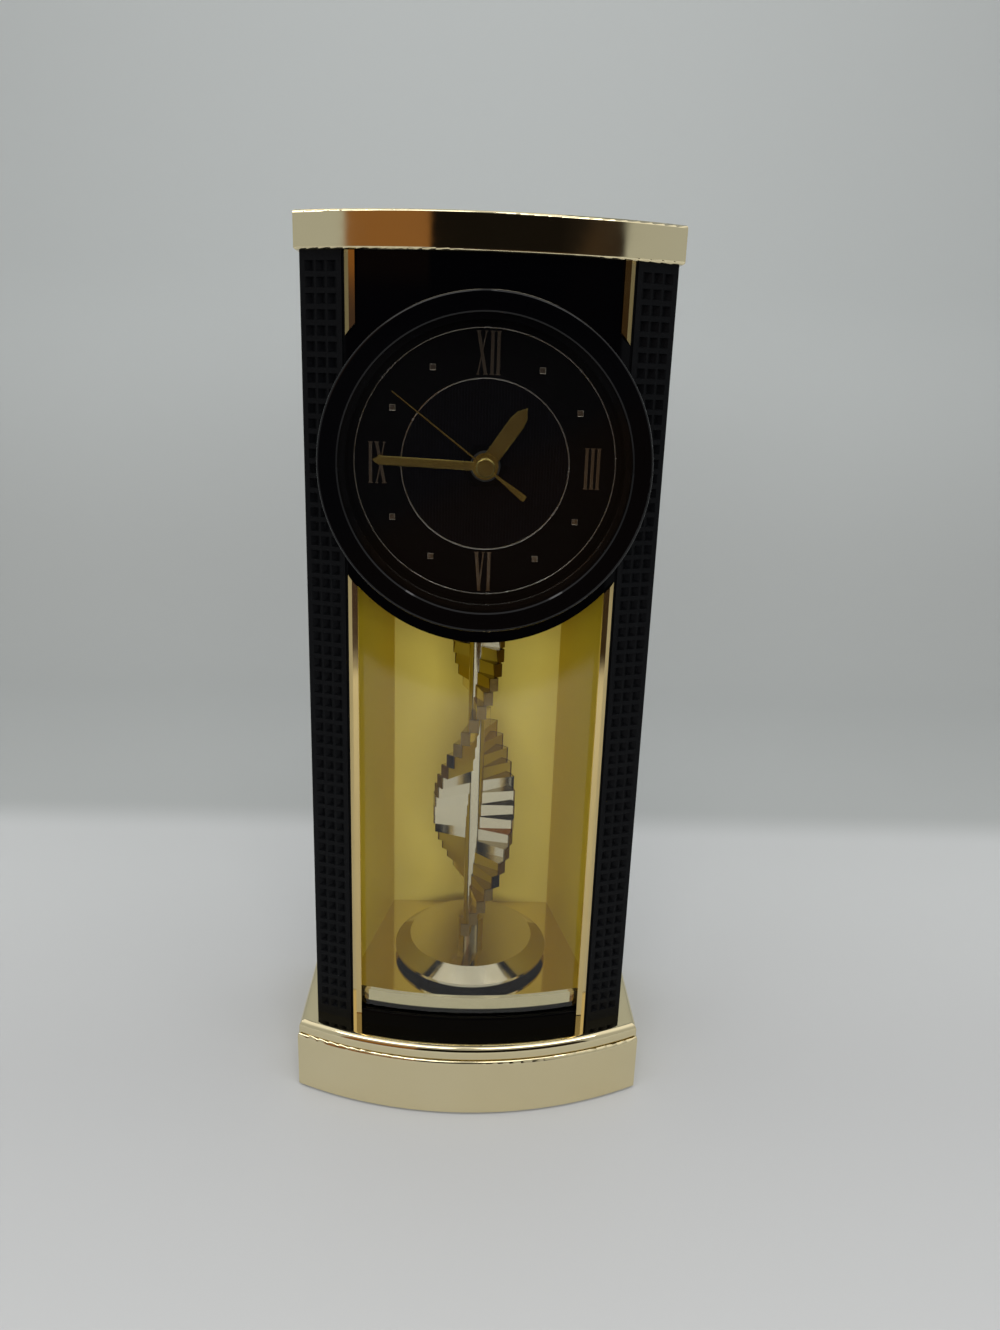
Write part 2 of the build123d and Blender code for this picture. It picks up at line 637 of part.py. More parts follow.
scribe = (BEZEL_R + WALL, BODY[1] - FIT, BODY[2] + FIT, BODY[3])
nodes["bezel"] = bezel - bow_block(scribe, 0, BASE_TOP_Z, HEIGHT)
nodes["dial_lens"] = drum(LENS_R, BEZEL_Y + LENS_INSET, lens_back_y)
nodes["dial_plate"] = drum(DIAL_R, DIAL_Y, dial_back_y) - drum(BUSH_R, DIAL_Y, dial_back_y)

# Hands on their pipes
minute_bore = SECOND_R + RUN
minute_r = minute_bore + PIPE_WALL
hour_bore = minute_r + RUN
hour_r = hour_bore + PIPE_WALL
bush_bore = hour_r + RUN
nut_y = DIAL_Y - NUT_T
hour_y = nut_y - GAP - HUB_T
minute_y = hour_y - HAND_STEP
second_y = minute_y - HAND_STEP
hour_outline = [
    (HOUR_ROOT_W, 0),
    (HOUR_NECK_W, HOUR_NECK_L),
    (HOUR_W, HOUR_LENGTH - HOUR_TIP_L),
    (HOUR_SHOULDER_W, HOUR_LENGTH - HOUR_SHOULDER_L),
    (0, HOUR_LENGTH),
]
hour_hand = bevelled(hand(hour_outline, HOUR_ANGLE, hour_y), HAND_BEVEL) + drum(HOUR_HUB_R, hour_y, hour_y + HUB_T)
nodes["hour_hand"] = hour_hand - drum(hour_r, hour_y, hour_y + HUB_T)
minute_outline = [(MINUTE_ROOT_W, 0), (MINUTE_W, MINUTE_LENGTH - MINUTE_TIP_L), (0, MINUTE_LENGTH)]
minute_hand = bevelled(hand(minute_outline, MINUTE_ANGLE, minute_y), HAND_BEVEL) + drum(MINUTE_HUB_R, minute_y, minute_y + HUB_T)
nodes["minute_hand"] = minute_hand - drum(minute_r, minute_y, minute_y + HUB_T)
second_outline = [
    (TAIL_END_W, -SECOND_TAIL),
    (TAIL_W, TAIL_ROUND_L - SECOND_TAIL),
    (TAIL_NECK_W, TAIL_NECK_L - SECOND_TAIL),
    (SECOND_W, -TAIL_ROOT_L),
    (SECOND_TIP_W, SECOND_LENGTH),
]
second_hand = hand(second_outline, SECOND_ANGLE, second_y)
second_hand += bevelled(drum(BOSS_CAP_R, second_y - BOSS_CAP_H, second_y + HUB_T), BOSS_EDGE)
nodes["second_hand"] = second_hand - drum(SECOND_R, second_y, second_y + HUB_T)

# Movement case: front half with the bush, rear half with the cell's bay
move_x = (-MOVE_HALF_W, MOVE_HALF_W)
move_z = (DIAL_Z + MOVE_LOW, DIAL_Z + MOVE_HIGH)
inner_x = (move_x[0] + MOVE_WALL, move_x[1] - MOVE_WALL)
inner_z = (move_z[0] + MOVE_WALL, move_z[1] - MOVE_WALL)
front_in_y = MOVE_Y + MOVE_WALL
back_in_y = MOVE_BACK_Y - MOVE_WALL
third_at = place(THIRD_DISTANCE, THIRD_BEARING)
motion_at = place(MOTION_DISTANCE, MOTION_BEARING)
knob_at = place(MOTION_DISTANCE, KNOB_BEARING, motion_at)
idler_at = place(IDLER_DISTANCE, IDLER_BEARING)
rotor_at = place(ROTOR_DISTANCE, ROTOR_BEARING, idler_at)
motion_back_y = MOTION_LAYER_Y + GEAR_T
front_case = box(move_x, (MOVE_Y, MOVE_SPLIT_Y), move_z) - box(inner_x, (front_in_y, MOVE_SPLIT_Y), inner_z)
front_case += drum(BUSH_R, nut_y, MOVE_Y)
front_case += drum(MOTION_POST_R, front_in_y, motion_back_y, *motion_at)
front_case -= drum(bush_bore, nut_y, front_in_y)
cell_y = BAY_FLOOR_Y + CELL_R
cell_z = inner_z[0] + BAY_GAP + CELL_R
bay_x = (-BAY_HALF_W, BAY_HALF_W)
bay_z = (cell_z - CELL_R, cell_z + CELL_R)
shell_x = (inner_x[0] + FIT, inner_x[1] - FIT)
shell_z = (inner_z[0] + FIT, bay_z[1] + BAY_WALL)
rear_case = box(move_x, (MOVE_SPLIT_Y, MOVE_BACK_Y), move_z) - box(inner_x, (MOVE_SPLIT_Y, back_in_y), inner_z)
rear_case += box(shell_x, (BAY_FLOOR_Y - BAY_WALL, MOVE_BACK_Y), shell_z)
rear_case -= box(bay_x, (BAY_FLOOR_Y, MOVE_BACK_Y), bay_z)
for at in (third_at, idler_at, rotor_at):
    front_case -= drum(ARBOR_R + RUN, MOVE_Y, front_in_y, *at)
    rear_case -= drum(ARBOR_R + RUN, back_in_y, MOVE_BACK_Y, *at)
front_case -= drum(KNOB_SHAFT_R + RUN, MOVE_Y, front_in_y, *knob_at)
rear_case -= drum(KNOB_SHAFT_R + RUN, back_in_y, MOVE_BACK_Y, *knob_at)
rear_case -= drum(SECOND_R + RUN, back_in_y, MOVE_BACK_Y)
nodes["movement_front_case"] = front_case
nodes["movement_rear_case"] = rear_case
nut_section = make_face(RegularPolygon(NUT_FLATS / 2, 6, major_radius=False).edges())
nut = extrude(dial_plane(nut_y) * nut_section, NUT_T, dir=(0, 1, 0))
nodes["movement_nut"] = nut - drum(BUSH_R, nut_y, DIAL_Y)

# Going train: rotor, idler, second wheel, third wheel, minute wheel
second_wheel = gear(SECOND_WHEEL_TEETH, SECOND_MODULE, 0, SECOND_LAYER_Y, SECOND_LAYER_Y + GEAR_T)
second_wheel += gear(SECOND_PINION_TEETH, THIRD_MODULE, 0, THIRD_LAYER_Y - PINION_EXTRA, SECOND_LAYER_Y)
nodes["second_wheel"] = second_wheel + drum(SECOND_R, second_y, MOVE_BACK_Y)
third_phase = meshing_phase(THIRD_BEARING, SECOND_PINION_TEETH, 0, THIRD_WHEEL_TEETH)
third_back_y = THIRD_LAYER_Y + GEAR_T
third_wheel = gear(THIRD_WHEEL_TEETH, THIRD_MODULE, third_phase, THIRD_LAYER_Y, third_back_y, third_at)
third_pinion_y = MINUTE_LAYER_Y - PINION_EXTRA
third_wheel += gear(THIRD_PINION_TEETH, MINUTE_MODULE, 0, third_pinion_y, THIRD_LAYER_Y, third_at)
nodes["third_wheel"] = third_wheel + drum(ARBOR_R, MOVE_Y, MOVE_BACK_Y, *third_at)
minute_phase = meshing_phase(THIRD_BEARING + 180, THIRD_PINION_TEETH, 0, MINUTE_WHEEL_TEETH)
minute_back_y = MINUTE_LAYER_Y + GEAR_T
minute_wheel = gear(MINUTE_WHEEL_TEETH, MINUTE_MODULE, minute_phase, MINUTE_LAYER_Y, minute_back_y)
idler_phase = meshing_phase(IDLER_BEARING, SECOND_WHEEL_TEETH, 0, IDLER_PINION_TEETH)
idler_pinion_y = SECOND_LAYER_Y - PINION_EXTRA
idler = gear(IDLER_PINION_TEETH, SECOND_MODULE, idler_phase, idler_pinion_y, IDLER_LAYER_Y, idler_at)
idler += gear(IDLER_WHEEL_TEETH, ROTOR_MODULE, 0, IDLER_LAYER_Y, IDLER_LAYER_Y + GEAR_T, idler_at)
nodes["idler_wheel"] = idler + drum(ARBOR_R, MOVE_Y, MOVE_BACK_Y, *idler_at)
rotor_phase = meshing_phase(ROTOR_BEARING, IDLER_WHEEL_TEETH, 0, ROTOR_PINION_TEETH)
rotor_y0, rotor_y1 = pinion_span(IDLER_LAYER_Y)
rotor = gear(ROTOR_PINION_TEETH, ROTOR_MODULE, rotor_phase, rotor_y0, rotor_y1, rotor_at)
rotor += drum(ROTOR_R, rotor_y0 - ROTOR_H, rotor_y0, *rotor_at)
nodes["rotor"] = rotor + drum(ARBOR_R, MOVE_Y, MOVE_BACK_Y, *rotor_at)

# Motion work: minute pinion, motion wheel, hour wheel, and the knob that sets them
pinion_y0, pinion_y1 = pinion_span(MOTION_LAYER_Y)
minute_wheel += gear(MINUTE_PINION_TEETH, MOTION_MODULE, 0, pinion_y0, pinion_y1)
minute_wheel += drum(minute_r, minute_y, minute_back_y)
nodes["minute_wheel"] = minute_wheel - drum(minute_bore, minute_y, minute_back_y)
motion_phase = meshing_phase(MOTION_BEARING, MINUTE_PINION_TEETH, 0, MOTION_WHEEL_TEETH)
motion = gear(MOTION_WHEEL_TEETH, MOTION_MODULE, motion_phase, MOTION_LAYER_Y, motion_back_y, motion_at)
motion_pinion_y = HOUR_LAYER_Y - PINION_EXTRA
motion += gear(MOTION_PINION_TEETH, HOUR_MODULE, 0, motion_pinion_y, MOTION_LAYER_Y, motion_at)
nodes["motion_wheel"] = motion - drum(MOTION_POST_R + RUN, MOVE_Y, motion_back_y, *motion_at)
hour_phase = meshing_phase(MOTION_BEARING + 180, MOTION_PINION_TEETH, 0, HOUR_WHEEL_TEETH)
hour_back_y = HOUR_LAYER_Y + GEAR_T
hour_wheel = gear(HOUR_WHEEL_TEETH, HOUR_MODULE, hour_phase, HOUR_LAYER_Y, hour_back_y)
hour_wheel += drum(hour_r, hour_y, HOUR_LAYER_Y)
nodes["hour_wheel"] = hour_wheel - drum(hour_bore, hour_y, hour_back_y)
knob_phase = meshing_phase(KNOB_BEARING, MOTION_WHEEL_TEETH, motion_phase, KNOB_PINION_TEETH)
knob = gear(KNOB_PINION_TEETH, MOTION_MODULE, knob_phase, pinion_y0, pinion_y1, knob_at)
knob_y = MOVE_BACK_Y + GAP
knob += drum(KNOB_SHAFT_R, MOVE_Y, knob_y, *knob_at)
knob += drum(KNOB_R, knob_y, knob_y + KNOB_H, *knob_at)
groove_ring_r = KNOB_R + KNOB_GROOVE_R - KNOB_GROOVE_DEPTH
for number in range(KNOB_GROOVES):
    groove_at = place(groove_ring_r, number * 360 / KNOB_GROOVES, knob_at)
    knob -= drum(KNOB_GROOVE_R, knob_y + KNOB_COLLAR_H, knob_y + KNOB_H, *groove_at)
nodes["setting_knob"] = knob

# Motor, board and cell
stator_y = rotor_y0 - ROTOR_H / 2 - STATOR_T / 2
stator_span = (stator_y, stator_y + STATOR_T)
rotor_z = DIAL_Z + rotor_at[1]
arm_z = (rotor_z + ARM_RISE, rotor_z + ARM_RISE + ARM_H)
yoke_x = (rotor_at[0] - STATOR_HALF, rotor_at[0] + STATOR_HALF)
arm = box((ARM_LEFT_X, yoke_x[1]), stator_span, arm_z)
yoke = box(yoke_x, stator_span, (rotor_z - STATOR_HALF, arm_z[1]))
nodes["stator"] = arm + yoke - drum(ROTOR_R + GAP, *stator_span, *rotor_at)
coil_y = stator_y + STATOR_T / 2
coil_z = (arm_z[0] + arm_z[1]) / 2
nodes["motor_coil"] = barrel(COIL_R, COIL_LEFT_X, COIL_LEFT_X + COIL_L, coil_y, coil_z) - arm
circuit_x = inner_x[0] + CIRCUIT_SIDE_GAP
circuit_z = inner_z[1] - CIRCUIT_TOP_GAP
circuit_span = (back_in_y - CIRCUIT_T, back_in_y)
circuit = box((circuit_x, circuit_x + CIRCUIT_W), circuit_span, (circuit_z - CIRCUIT_H, circuit_z))
nodes["circuit_board"] = circuit
cell_end = CELL_L / 2
cell = barrel(CELL_R, -cell_end, cell_end - CELL_NUB_H, cell_y, cell_z)
nodes["battery"] = cell + barrel(CELL_NUB_R, cell_end - CELL_NUB_H, cell_end, cell_y, cell_z)
contact_y = (cell_y - CONTACT_HALF_W, cell_y + CONTACT_HALF_W)
contact_z = (cell_z - CONTACT_HALF_W, cell_z + CONTACT_HALF_W)
contact_spans = ((-BAY_HALF_W, -cell_end), (cell_end, BAY_HALF_W))
nodes["battery_contacts"] = Part() + [box(span, contact_y, contact_z) for span in contact_spans]

# Rear cover with its door, which turns on two pins at one side
cover_x = BODY[0] - FIT
cover = box((-cover_x, cover_x), (cover_y, BODY[3]), (BASE_TOP_Z, CAP_Z))
hinge_x = -DOOR_HALF_W
hinge_y = (cover_y + BODY[3]) / 2
hinge_r = WALL / 2
opening_x = (hinge_x - hinge_r - DOOR_HINGE_GAP, DOOR_HALF_W + GAP)
cover -= box(opening_x, (cover_y, BODY[3]), (DOOR_LOW_Z, DOOR_HIGH_Z))
door_z = (DOOR_LOW_Z + GAP, DOOR_HIGH_Z - GAP)
door = box((hinge_x, DOOR_HALF_W), (cover_y, BODY[3]), door_z)
door += peg(hinge_x, hinge_y, hinge_r, *door_z)
for z0, z1 in ((door_z[0] - DOOR_PIN_L, door_z[0]), (door_z[1], door_z[1] + DOOR_PIN_L)):
    door += peg(hinge_x, hinge_y, DOOR_PIN_R, z0, z1)
    cover -= peg(hinge_x, hinge_y, DOOR_PIN_R + RUN, z0 - GAP, z1 + GAP)
notch_z = (DOOR_LOW_Z + DOOR_HIGH_Z) / 2 - DIAL_Z
cover -= drum(NOTCH_R, BODY[3] - NOTCH_DEPTH, BODY[3], DOOR_HALF_W + NOTCH_R - NOTCH_BITE, notch_z)
head_y = (cover_y + BODY[3]) / 2
cover_screws = []
for x in (-cover_screw_x, cover_screw_x):
    for z in COVER_POST_Z:
        at = (x, z - DIAL_Z)
        cover -= drum(COVER_SCREW_R + FIT, cover_y, head_y, *at)
        cover -= drum(COVER_HEAD_R + FIT, head_y, BODY[3], *at)
        shank = drum(COVER_SCREW_R, cover_y - COVER_SCREW_L, head_y, *at)
        cover_screws.append(shank + drum(COVER_HEAD_R, head_y, BODY[3], *at))
nodes["rear_cover"] = cover
nodes["rear_door"] = door
nodes["cover_screws"] = Part() + cover_screws

for name, solid in nodes.items():
    export_step(solid, f"parts/{name}.step")
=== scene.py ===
import math

import bmesh
import bpy
from mathutils import Matrix, Vector


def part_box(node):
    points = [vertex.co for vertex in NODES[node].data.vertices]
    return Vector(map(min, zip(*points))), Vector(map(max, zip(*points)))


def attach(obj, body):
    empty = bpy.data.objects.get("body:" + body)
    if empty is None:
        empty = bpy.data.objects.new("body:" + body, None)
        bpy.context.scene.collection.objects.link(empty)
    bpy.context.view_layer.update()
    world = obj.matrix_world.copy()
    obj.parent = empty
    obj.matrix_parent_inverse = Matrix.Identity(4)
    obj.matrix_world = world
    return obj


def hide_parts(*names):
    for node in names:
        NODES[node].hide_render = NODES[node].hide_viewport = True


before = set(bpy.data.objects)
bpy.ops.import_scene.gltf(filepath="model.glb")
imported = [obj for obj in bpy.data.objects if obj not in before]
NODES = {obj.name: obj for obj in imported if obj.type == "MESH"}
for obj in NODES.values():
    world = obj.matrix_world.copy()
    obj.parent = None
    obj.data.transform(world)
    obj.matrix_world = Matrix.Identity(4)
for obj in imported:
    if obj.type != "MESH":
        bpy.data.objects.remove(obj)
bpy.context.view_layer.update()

bl_info = {
    "name": "Desk Clock",
    "version": (1, 0, 0),
    "blender": (4, 5, 0),
    "location": "3D View > Sidebar > Desk Clock",
    "description": "Finishes, dial print, fasteners and studio for a desk clock with a turning pendulum",
    "category": "Object",
}

MM = 0.001

# Camera: place in millimetres, angles in degrees, focal length for the long side of a 36 mm sensor
CAMERA_AT = (-3.44, -271.8, 212.7)
CAMERA_YAW = 2.1
CAMERA_PITCH = 16.75
CAMERA_ROLL = -2.01
CAMERA_LENS = 25.77

# The dial's centre, on its front face
DIAL_LOW, DIAL_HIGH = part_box("dial_plate")
DIAL_AT = Vector(((DIAL_LOW.x + DIAL_HIGH.x) / 2, DIAL_LOW.y, (DIAL_LOW.z + DIAL_HIGH.z) / 2))
# Dial drawings are made flat, x right and y up, and stood on the dial with their height towards the viewer
ON_DIAL = Matrix.Translation(DIAL_AT) @ Matrix.Rotation(math.radians(90), 4, "X")
# Quarters of the dial: numeral, and where it stands from the centre, to the right and up
QUARTERS = (("XII", 0, 1), ("III", 1, 0), ("VI", 0, -1), ("IX", -1, 0))

# Half the width of the alcove's back
ALCOVE_HALF_WIDTH = 26.9 * MM

# The pendulum's bars: half their length, half the topmost bar's length,
# and the height over which they shorten
BAR_REACH = 12.6 * MM
TOP_BAR_REACH = 6.4 * MM
TAPER_HEIGHT = 37.8 * MM

# Shares of a raised piece's height: what is sunk into the dial, the rounding of a ring and of a dot
SUNK = 0.2
RING_ROUNDING = 0.9
DOT_ROUNDING = 0.6
# Space beside the wide letters of a numeral, in shares of the stems' pitch
CROSS_SPACE = 0.55
WEDGE_SPACE = 0.45

# How far each of the rear screws is turned, in degrees
SCREW_TURNS = (20, 65, -10, 40)

# Card under and behind the clock, in metres: its width, the ends of its flat part,
# the radius of its bend and its height
CARD_WIDTH = 7.0
CARD_FRONT, CARD_BACK = -0.7, 0.36
CARD_BEND = 0.3
CARD_TOP = 1.6
# Where the card's tones change: axis, start and end
CARD_BLENDS = {
    # far: painted light, the table paler towards the back
    "far": (1, -0.04, 0.12),
    "backdrop": (1, 0.145, 0.18),
    # height: painted light, the backdrop paler high up
    "height": (2, 0.0, 0.3),
    "near": (1, -0.44, -0.38),
}
# Where the tent's tones change: what is measured of a direction, start, end and kind of change
TENT_BLENDS = {
    "roof_rise": ("height", 0.1, 0.9, "SMOOTHSTEP"),
    "roof_ahead": ("ahead", 0.1, 0.6, "SMOOTHSTEP"),
    "dim_rise": ("height", 0.0, 0.08, "SMOOTHSTEP"),
    "brown_lean": ("lean", 0.08, 0.13, "SMOOTHSTEP"),
    "panel_foot": ("height", 0.078, 0.098, "LINEAR"),
    "opening_top": ("height", 0.5, 0.62, "LINEAR"),
    "opening_left": ("bearing", math.radians(-41.2), math.radians(-39.8), "LINEAR"),
    "panel_edge": ("bearing", math.radians(-16.8), math.radians(-15.6), "LINEAR"),
    "far_right": ("bearing", math.radians(20), math.radians(39), "LINEAR"),
    "opening_right": ("bearing", math.radians(38.2), math.radians(39.6), "LINEAR"),
}
# Tones of the tent, each mixed from two: its name, the blend, and the tones at the blend's start and end
TENT_TONES = (
    ("whole_roof", "roof_ahead", "roof", "roof_front"),
    ("walls", "roof_rise", "tent", "whole_roof"),
    ("dim_level", "dim_rise", "dim_low", "dim"),
    ("dim_whole", "brown_lean", "dim_level", "dim_right"),
    ("panel_whole", "panel_foot", "dim_left", "panel"),
    ("open_near", "panel_edge", "panel_whole", "dim_whole"),
    ("open_side", "far_right", "open_near", "dim_far"),
)
# Lamps: name, place, what it points at, width, height, share of the power, shows as a reflection
LAMPS = (
    ("lamp_left", (-0.35, -0.45, 1.0), (-0.2, 0.0, 0.06), 0.6, 0.24, 0.9, True),
    ("lamp_right", (0.35, -0.45, 1.0), (0.2, 0.0, 0.06), 0.6, 0.24, 0.9, True),
    ("lamp_fill", (0.0, -0.65, 0.28), (0.0, 0.0, 0.09), 0.5, 0.15, 1.7, False),
    ("lamp_backdrop", (0.0, 0.2, 0.95), (0.0, 0.66, 0.5), 0.8, 0.2, 0.42, False),
)


def linear(hex_colour):
    """Linear RGBA from an sRGB hex colour."""
    parts = [int(hex_colour[i:i + 2], 16) / 255 for i in (0, 2, 4)]
    return (*[c / 12.92 if c <= 0.04045 else ((c + 0.055) / 1.055) ** 2.4 for c in parts], 1.0)


def colour(name, description, hex_colour):
    """A colour that a user can change."""
    return bpy.props.FloatVectorProperty(
        name=name, description=description, default=linear(hex_colour),
        subtype="COLOR", size=4, min=0.0, max=1.0
    )


def length(name, description, mm):
    """A size that a user can change, given in millimetres."""
    return bpy.props.FloatProperty(
        name=name, description=description, default=mm * MM, min=0.0, precision=5, unit="LENGTH"
    )


class ClockColours(bpy.types.PropertyGroup):
    """Colours of the clock's finishes."""

    plating: colour("Plating", "Pale gold of the plinth and cap", "EADEB9")
    plating_warm: colour("Plating, warm", "Where the plating is a little thicker", "E3D4A8")
    strip: colour("Strips", "Deeper gold of the strips beside the columns", "DEC78F")
    strip_warm: colour("Strips, warm", "Where the strips' plating is a little thicker", "D3B97C")
    alcove: colour("Alcove", "Gold of the alcove's lining", "EED96C")
    alcove_deep: colour("Alcove, deep", "Deeper patches of the lining", "E6CC5A")
    # painted shade and reflection: the slanted sides' darker, deeper gold
    alcove_side_shade: colour("Alcove, sides", "Gold of the lining's slanted sides", "D5BB27")
    vane: colour("Pendulum", "Bright gold of the vane and disc", "D9CDB0")
    # painted shade: brown on the ends of the vane's bars
    bar_end_shade: colour("Bar ends", "Brown gold of the ends of the vane's bars", "765F34")
    grain: colour("Grained black", "Columns and rear cover", "08090B")
    gloss: colour("Gloss black", "Bezel, panel and rail", "020203")
    dial: colour("Dial", "Lacquer of the dial", "020203")
    dial_line: colour("Dial lines", "Fine upright lines inside the inner ring", "0B0A0F")
    foil: colour("Foil", "Pale foil of the numerals and dots", "D2C6B8")
    ring: colour("Rings", "Polished lines of the two rings", "DEDAD6")
    hands: colour("Hands", "Gold of the hands", "EED27C")
    movement: colour("Movement", "Dark case of the movement", "1B1C1E")
    resin: colour("Resin", "Wheels and setting knob", "E4E0D2")
    steel: colour("Steel", "Screws, stator and pendulum rod", "B9BABC")
    nickel: colour("Nickel", "Cell contacts", "D6D2C8")
    brass: colour("Brass", "Pivot cup and bush", "E0BE72")
    copper: colour("Copper", "Windings", "B4622F")
    copper_shade: colour("Copper, shade", "Between the turns of the windings", "5A2A12")
    board: colour("Board", "Solder mask of the boards", "1E5A38")
    board_deep: colour("Board, deep", "Deeper fields of the solder mask", "174A2D")
    track: colour("Tracks", "Solder mask over the boards' tracks", "3C8A58")
    acrylic: colour("Acrylic", "Clear acrylic of the window and the lens", "FAFBFA")
    cell: colour("Cell", "Sleeve of the cell", "26282E")
    cell_band: colour("Cell band", "Band at the sleeve's end", "A87F3C")
    rubber: colour("Rubber", "Feet", "1A1A1B")
    magnet: colour("Magnet", "Ferrite of the magnets", "3A3A3D")


class ClockDial(bpy.types.PropertyGroup):
    """Sizes of what is printed and set on the dial."""

    outer_ring: length("Outer ring", "Radius of the outer ring", 32.8)
    inner_ring: length("Inner ring", "Radius of the inner ring", 21.05)
    ring_width: length("Ring width", "Width of both rings", 0.36)
    ring_height: length("Ring height", "How far the rings stand off the dial", 0.12)
    numeral_at: length("Numeral radius", "From the dial's centre to the middle of a numeral", 26.9)
    numeral_height: length("Numeral height", "Height of the numerals", 10.2)
    stem: length("Stem", "Width of a thick stroke", 0.8)
    hairline: length("Hairline", "Width of a thin stroke", 0.34)
    serif: length("Serif", "Height of a serif", 0.24)
    serif_reach: length("Serif reach", "How far a serif stands out beside a stroke", 0.2)
    pitch: length("Stem pitch", "Between neighbouring stems", 1.5)
    cross_width: length("Cross width", "Between the stroke ends of an X", 1.85)
    wedge_width: length("Wedge width", "Between the stroke tops of a V", 1.75)
    dot: length("Dot", "Side of a square dot", 1.6)
    dot_at: length("Dot radius", "From the dial's centre to a dot", 26.8)
    dot_height: length("Dot height", "How far a dot stands off the dial", 0.25)
    foil: length("Foil", "Thickness of the foil", 0.05)


class ClockScrews(bpy.types.PropertyGroup):
    """Sizes of the rear cover's screws."""

    head: length("Head radius", "Radius of a screw's head", 2.4)
    head_height: length("Head height", "Height of a screw's head", 1.25)
    rim: length("Rim", "Rounding of the head's rim", 0.35)
    shank: length("Shank radius", "Radius of a screw's shank", 1.2)
    arm_length: length("Recess length", "From tip to tip of the cross recess", 2.9)
    arm_width: length("Recess width", "Width of the cross recess's arms", 0.7)
    recess: length("Recess depth", "Depth of the cross recess", 0.8)


class ClockStudio(bpy.types.PropertyGroup):
    """Floor, backdrop and light round the clock."""

    table: colour("Table", "Card under the clock", "BCBDBD")
    # painted light: the table is paler towards the backdrop, for light that the lamps bring too little there
    table_far_painted_light: colour("Table, far", "Card under the clock, towards the backdrop", "CACCCC")
    wall: colour("Backdrop", "Card behind the clock, low down", "B1B4B3")
    # painted light: the backdrop is paler high up, where the tent's light falls on it
    wall_high_painted_light: colour("Backdrop, high", "Card behind the clock, high up", "D3D8D8")
    tent: colour("Tent", "Light of the tent's walls", "B2B5B5")
    roof: colour("Roof", "Light of the tent's roof", "FFFFFF")
    roof_front: colour("Roof, front", "Light of the roof over the open side", "AEAEAC")
    dim: colour("Dim side", "What the tent's open side looks out on", "161311")
    dim_low: colour("Dim side, low", "Lower part of the dim side", "363433")
    dim_right: colour("Dim side, low right", "Brown lower part of the dim side, to the right", "463626")
    dim_far: colour("Dim side, far right", "Right edge of the dim side", "2E2722")
    dim_left: colour("Dim side, left", "Shade under the warm panel", "45393A")
    panel: colour("Warm panel", "Panel at the left of the dim side", "8C6138")
    surround: colour("Surround", "What shows past the card", "B0B5B5")
    lamp_power: bpy.props.FloatProperty(
        name="Lamps", description="Power that the lamps take their shares of",
        default=1.8, min=0.0, unit="POWER"
    )


# Materials


def per_mm(mm):
    """Texture scale that puts one grain in each so many millimetres."""
    return 1.0 / (mm * MM)


def wave_per_mm(mm):
    """Wave texture scale that puts one wave in each so many millimetres."""
    return per_mm(mm) * math.tau / 20


def add(tree, kind, inputs=None, **settings):
    """Adds a node with its settings, and sets or links its inputs.

    Inputs go by name or number: a Mix has its factor at 0 and two colours at 6 and 7, a Map Range has its
    value at 0, the range that it comes from at 1 and 2 and the one that it goes to at 3 and 4.
    """
    node = tree.nodes.new(kind)
    for name, value in settings.items():
        setattr(node, name, value)
    for key, value in (inputs or {}).items():
        if isinstance(value, bpy.types.NodeSocket):
            tree.links.new(value, node.inputs[key])
        else:
            node.inputs[key].default_value = value
    return node


def start(name, **uniform):
    """A material with a principled shader, whose uniform values are set, and Object coordinates."""
    mat = bpy.data.materials.new(name)
    mat.use_nodes = True
    tree = mat.node_tree
    shader = tree.nodes["Principled BSDF"]
    for key, value in uniform.items():
        shader.inputs[key.replace("_", " ")].default_value = value
    return mat, tree, shader, add(tree, "ShaderNodeTexCoord").outputs["Object"]


def plated_gold(name, tone, warm):
    """Gold electroplating on moulded ABS: a mirror with the moulding's faint waves and wiped-on haze."""
    mat, tree, shader, at = start(name, Metallic=1.0)
    # cloud of thicker plating about 30 mm across, haze of wiping about 7 mm, sink waves about 16 mm
    cloud = add(tree, "ShaderNodeTexNoise", {"Vector": at, "Scale": per_mm(30), "Detail": 2.0})
    tint = add(tree, "ShaderNodeMix", {0: cloud.outputs[0], 6: tone, 7: warm}, data_type="RGBA")
    haze = add(tree, "ShaderNodeTexNoise", {"Vector": at, "Scale": per_mm(7), "Detail": 6.0})
    rough = add(tree, "ShaderNodeMapRange", {0: haze.outputs[0], 1: 0.35, 2: 0.75, 3: 0.05, 4: 0.12})
    wave = add(tree, "ShaderNodeTexNoise", {"Vector": at, "Scale": per_mm(16), "Detail": 1.0})
    bump = add(tree, "ShaderNodeBump", {"Height": wave.outputs[0], "Distance": 0.03 * MM, "Strength": 1.0})
    tree.links.new(tint.outputs[2], shader.inputs["Base Color"])
    tree.links.new(rough.outputs[0], shader.inputs["Roughness"])
    tree.links.new(bump.outputs[0], shader.inputs["Normal"])
    return mat


